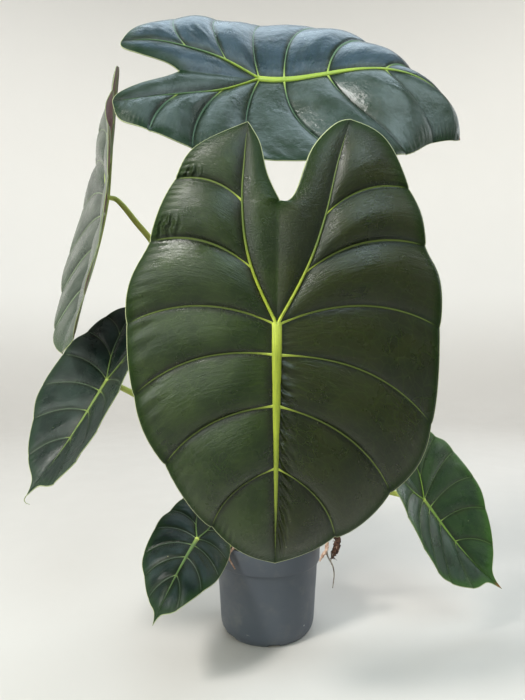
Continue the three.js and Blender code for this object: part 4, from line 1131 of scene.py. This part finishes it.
def make_stalk(leaf, stalk_paint):
    """The stalk and the raised veins of the leaf that grow out of it"""
    body = Body(leaf["name"] + "_leaf_stalk", STALK_VALUES)
    add_ridge(body, leaf, main_vein_cells(leaf, MIDRIB_HALF), MIDRIB_HEIGHT, 0, 1)
    add_ridge(body, leaf, main_vein_cells(leaf, KEEL_HALF), KEEL_HEIGHT, -BLADE_THICKNESS, -1)
    for side in (1, -1):
        for vein in SIDE_VEINS:
            over, under = (side_vein_cells(leaf, side, vein, scale) for scale in (0.8, 1.3))
            add_ridge(body, leaf, over, SIDE_VEIN_HEIGHT, 0, 1, 1)
            add_ridge(body, leaf, under, SIDE_VEIN_HEIGHT * 2, -BLADE_THICKNESS, -1, 1)
    path = stalk_path(leaf)
    points, faces, way = tube(path, stalk_radii(leaf, len(path)), STALK_SIDES, STALK_STEPS,
                              STALK_ROUGHNESS, leaf["length"])
    round_once = np.abs(np.arange(STALK_SIDES) / STALK_SIDES - 0.5) * 2
    turn = np.concatenate([np.tile(round_once, len(points) // STALK_SIDES), [0, 0]])
    body.add(points, faces, np.stack([way, 0 * way + 1, 0 * way, turn], 1), 1)
    return body.make([rib_material(leaf), stalk_paint], ["leaf_%s_stalk" % leaf["name"]])


# Pot and soil

def cut(target, cutter):
    """Takes the cutter's body out of the target's mesh"""
    tool = target.modifiers.new("cut", "BOOLEAN")
    tool.operation = "DIFFERENCE"
    tool.solver = "EXACT"
    tool.object = cutter
    bpy.context.view_layer.update()
    result = bpy.data.meshes.new_from_object(target.evaluated_get(bpy.context.evaluated_depsgraph_get()))
    target.modifiers.clear()
    target.data = result
    bpy.data.objects.remove(cutter)


def slot_cutter():
    """A box for each drain slot"""
    half = Vector(SLOT_SIZE) / 2
    corners = [(x, y, z) for x in (-half.x, half.x) for y in (-half.y, half.y) for z in (-half.z, half.z)]
    points, faces = [], []
    for i in range(SLOT_COUNT):
        angle = SLOT_FIRST_ANGLE + 2 * math.pi * i / SLOT_COUNT
        for x, y, z in corners:
            x += SLOT_RADIUS
            points.append([(x * math.cos(angle) - y * math.sin(angle)) * MM,
                           (x * math.sin(angle) + y * math.cos(angle)) * MM, z * MM])
        faces += [[p + len(corners) * i for p in face] for face in BOX_FACES]
    return link("slots", new_mesh("slots", points, faces))


def make_pot():
    rim, top = RIM_RADIUS, POT_HEIGHT
    lip = [(rim - 0.1, BAND_BOTTOM + 20), (rim, top - 1), (rim - 0.3, top - 0.3), (rim - 0.7, top),
           (rim - 1.6, top), (rim - 2, top - 0.3), (rim - 2.3, top - 1)]
    body = Body("nursery_pot")
    body.add(*lathe(POT_BOTTOM + POT_OUTSIDE + lip + POT_INSIDE[::-1] + [(0, POT_FLOOR)], POT_SIDES))
    pot = body.make([pot_material()], ["pot"])
    cut(pot, slot_cutter())
    sharpen(pot)


def sharpen(piece):
    """Smooth shading but for edges that turn by more than SHARP_TURN"""
    mesh = bmesh.new()
    mesh.from_mesh(piece.data)
    for edge in mesh.edges:
        edge.smooth = len(edge.link_faces) != 2 or edge.calc_face_angle(0) < SHARP_TURN
    for face in mesh.faces:
        face.smooth = True
    mesh.to_mesh(piece.data)
    mesh.free()


def soil_level(x, y):
    r = math.hypot(x, y) / SOIL_EDGE_RADIUS
    bumps = math.sin(x * 0.33 + 1.1) * math.cos(y * 0.37) + 0.6 * math.sin(x * 0.71 - y * 0.58)
    return SOIL_EDGE_LEVEL + SOIL_CROWN * (1 - r * r) + SOIL_BUMP * bumps * (1 - r ** 6)


def crumbs(x, y):
    """Height of the loose crumbs on the soil"""
    coarse, middle, fine = (height * noise.noise(Vector((x * rate, y * rate, seed)))
                            for rate, height, seed in CRUMBS)
    return coarse + abs(middle) + fine


def make_soil():
    side = [(r - SOIL_SIDE_GAP, z + SOIL_FLOOR_GAP) for r, z in POT_INSIDE]
    profile = [(0, POT_FLOOR + SOIL_FLOOR_GAP)] + side + [(SOIL_EDGE_RADIUS - 0.3, SOIL_EDGE_LEVEL - 3)]
    profile += [(SOIL_EDGE_RADIUS * (1 - i / SOIL_RINGS), POT_HEIGHT) for i in range(SOIL_RINGS)]
    points, faces = lathe(profile + [(0, POT_HEIGHT)], SOIL_SECTORS)
    for point in points:
        if point[2] > POT_HEIGHT - 1:
            point[2] = soil_level(point[0], point[1]) + crumbs(point[0], point[1]) + CRUMB_LEVEL
    body = Body("potting_soil")
    body.add(points, faces)
    body.make([soil_material()], ["soil"])


def lump(rng, centre, size, turn):
    """Rough stone-like or chip-like body"""
    shape = bmesh.new()
    bmesh.ops.create_icosphere(shape, subdivisions=2, radius=1)
    seed = Vector((rng.uniform(0, 90), rng.uniform(0, 90), rng.uniform(0, 90)))
    points = []
    for vert in shape.verts:
        p = vert.co.normalized()
        boxed = Vector([math.copysign(abs(c) ** LUMP_BOXING, c) for c in p])
        boxed *= 1 + LUMP_ROUGHNESS * noise.noise(p * 1.6 + seed)
        q = Vector((boxed.x * size[0], boxed.y * size[1], boxed.z * size[2]))
        q.rotate(turn)
        points.append(list(q + centre))
    faces = [[v.index for v in face.verts] for face in shape.faces]
    shape.free()
    return points, faces


def on_soil(reach, angle, lift):
    """Place on the soil, by its distance and direction from the pot's middle"""
    x, y = reach * math.cos(angle), reach * math.sin(angle)
    return Vector((x, y, soil_level(x, y) + lift))


def make_chips():
    """Bark chips, crumbs and a few pale grains that lie on the soil"""
    rng = random.Random(CHIP_SEED)
    body = Body("bark_and_grains")
    for i in range(CHIP_COUNT):
        centre = on_soil(24 + 24 * ((i * 0.618) % 1), i * 2.4 + 0.4, CHIP_LIFT)
        size = (4.5 + 2 * math.sin(i), 3 + math.cos(i * 1.7), 2)
        turn = Euler((0.35 * math.sin(i * 2.1), 0.3 * math.cos(i * 1.3), i * 1.9))
        body.add(*lump(rng, centre, size, turn))
    for i in range(GRAIN_COUNT):
        angle = rng.uniform(0, 2 * math.pi)
        reach = GRAIN_REACH * math.sqrt(rng.uniform(0.02, 1))
        grain = rng.uniform(0.5, 1.9)
        size = (grain, grain * rng.uniform(0.5, 1), grain * rng.uniform(0.4, 0.8))
        turn = Euler((rng.uniform(0, 3), rng.uniform(0, 3), rng.uniform(0, 3)))
        pale = rng.random() < PALE_SHARE
        kind = 1 if pale else (0 if rng.random() < BARK_SHARE else 2)
        body.add(*lump(rng, on_soil(reach, angle, GRAIN_LIFT), size, turn), slots=kind)
    kinds = ("bark_chips", "pale_grains", "peat_crumbs")
    body.make([fibrous_material(name) for name in kinds])


def make_roots():
    bare, dirty, grey = (fibrous_material(name) for name in ("bare_root", "dirty_root", "thin_root"))
    left = Body("root_over_rim_left")
    points, faces, _ = tube(*ROOT_LEFT, 12, 10, ROOT_LEFT_ROUGHNESS, 2)
    left.add(points, faces)
    left.make([bare], ["root_left"])
    right = Body("root_tangle_right")
    for i, (path, radii, roughness, kind) in enumerate(ROOT_RIGHT):
        points, faces, _ = tube(path, radii, 14, 14, roughness, 5 + i)
        right.add(points, faces, slots=kind)
    add_rootlets(right)
    right.make([bare, dirty, grey], ["root_right"])


def add_rootlets(body):
    """Short hairs that stand out from the thick root of the tangle and hang a little"""
    rng = random.Random(ROOTLET_SEED)
    trunk, _ = spline(ROOT_RIGHT[0][0][2:], 8)
    for i in range(ROOTLET_COUNT):
        start = trunk[rng.randrange(len(trunk))]
        out = Vector((rng.gauss(0, 1), rng.gauss(0, 1), rng.gauss(-0.5, 0.8))).normalized()
        length = rng.uniform(2.5, 5.5)
        middle = Vector(start) + out * length * 0.7 + Vector((rng.gauss(0, 0.6), rng.gauss(0, 0.6), 0))
        end = Vector(start) + out * length + Vector((rng.gauss(0, 0.8), rng.gauss(0, 0.8), -length * 0.35))
        points, faces, _ = tube([start, middle, end], ROOTLET_RADII, 6, 4, ROOTLET_ROUGHNESS, i)
        body.add(points, faces, slots=rng.choice([0, 1, 1, 2]))


# Stage

def make_floor():
    """Round floor that sweeps up into a plain wall far from the plant"""
    profile = [(FLOOR_MIDDLE, 0), (FLOOR_RADIUS, 0)]
    profile += [(FLOOR_RADIUS + SWEEP_RADIUS * math.sin(a), SWEEP_RADIUS * (1 - math.cos(a)))
                for a in np.linspace(0, math.pi / 2, SWEEP_STEPS)[1:]]
    profile.append((FLOOR_RADIUS + SWEEP_RADIUS, WALL_HEIGHT))
    points = [(0, 0, 0)]
    for r, z in profile:
        points += circle(r, z, FLOOR_SIDES)
    faces = fan(0, 1, FLOOR_SIDES) + turned_over(bands(1, len(profile), FLOOR_SIDES))
    mesh = new_mesh("floor", points, faces)
    mesh.polygons.foreach_set("use_smooth", [True] * len(faces))
    mesh.materials.append(floor_material())
    floor = link("floor", mesh)


def make_light(name, place, target, size, watts, color):
    light = bpy.data.lights.new(name, "AREA")
    light.shape = "RECTANGLE"
    light.size, light.size_y = size
    light.energy = watts
    light.color = color
    made = link(name, light)
    made.location = place
    made.rotation_euler = (Vector(target) - Vector(place)).to_track_quat("-Z", "Y").to_euler()


def make_camera():
    camera = bpy.data.cameras.new("camera")
    camera.sensor_width = CAMERA_SENSOR
    camera.lens = CAMERA_LENS
    camera.clip_start = CAMERA_NEAR
    made = link("camera", camera)
    made.location = [c * MM for c in CAMERA_PLACE]
    made.rotation_euler = (math.radians(90 - CAMERA_DOWN), 0, 0)
    bpy.context.scene.camera = made


def make_world():
    world = bpy.data.worlds.new("soft_room")
    world.use_nodes = True
    background = world.node_tree.nodes["Background"]
    background.inputs["Color"].default_value = WORLD_COLOR
    background.inputs["Strength"].default_value = WORLD_STRENGTH
    bpy.context.scene.world = world


make_camera()
make_floor()
for light in LIGHTS:
    make_light(*light)
make_world()
bpy.context.scene.view_settings.view_transform = "Standard"

margin = margin_material()
stalk_paint = stalk_material()
for leaf in LEAVES:
    make_blade(leaf, margin)
    make_stalk(leaf, stalk_paint)
make_pot()
make_soil()
make_chips()
make_roots()
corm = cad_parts["corm"]
corm.data.materials.clear()
corm.data.materials.append(fibrous_material("corm_skin"))
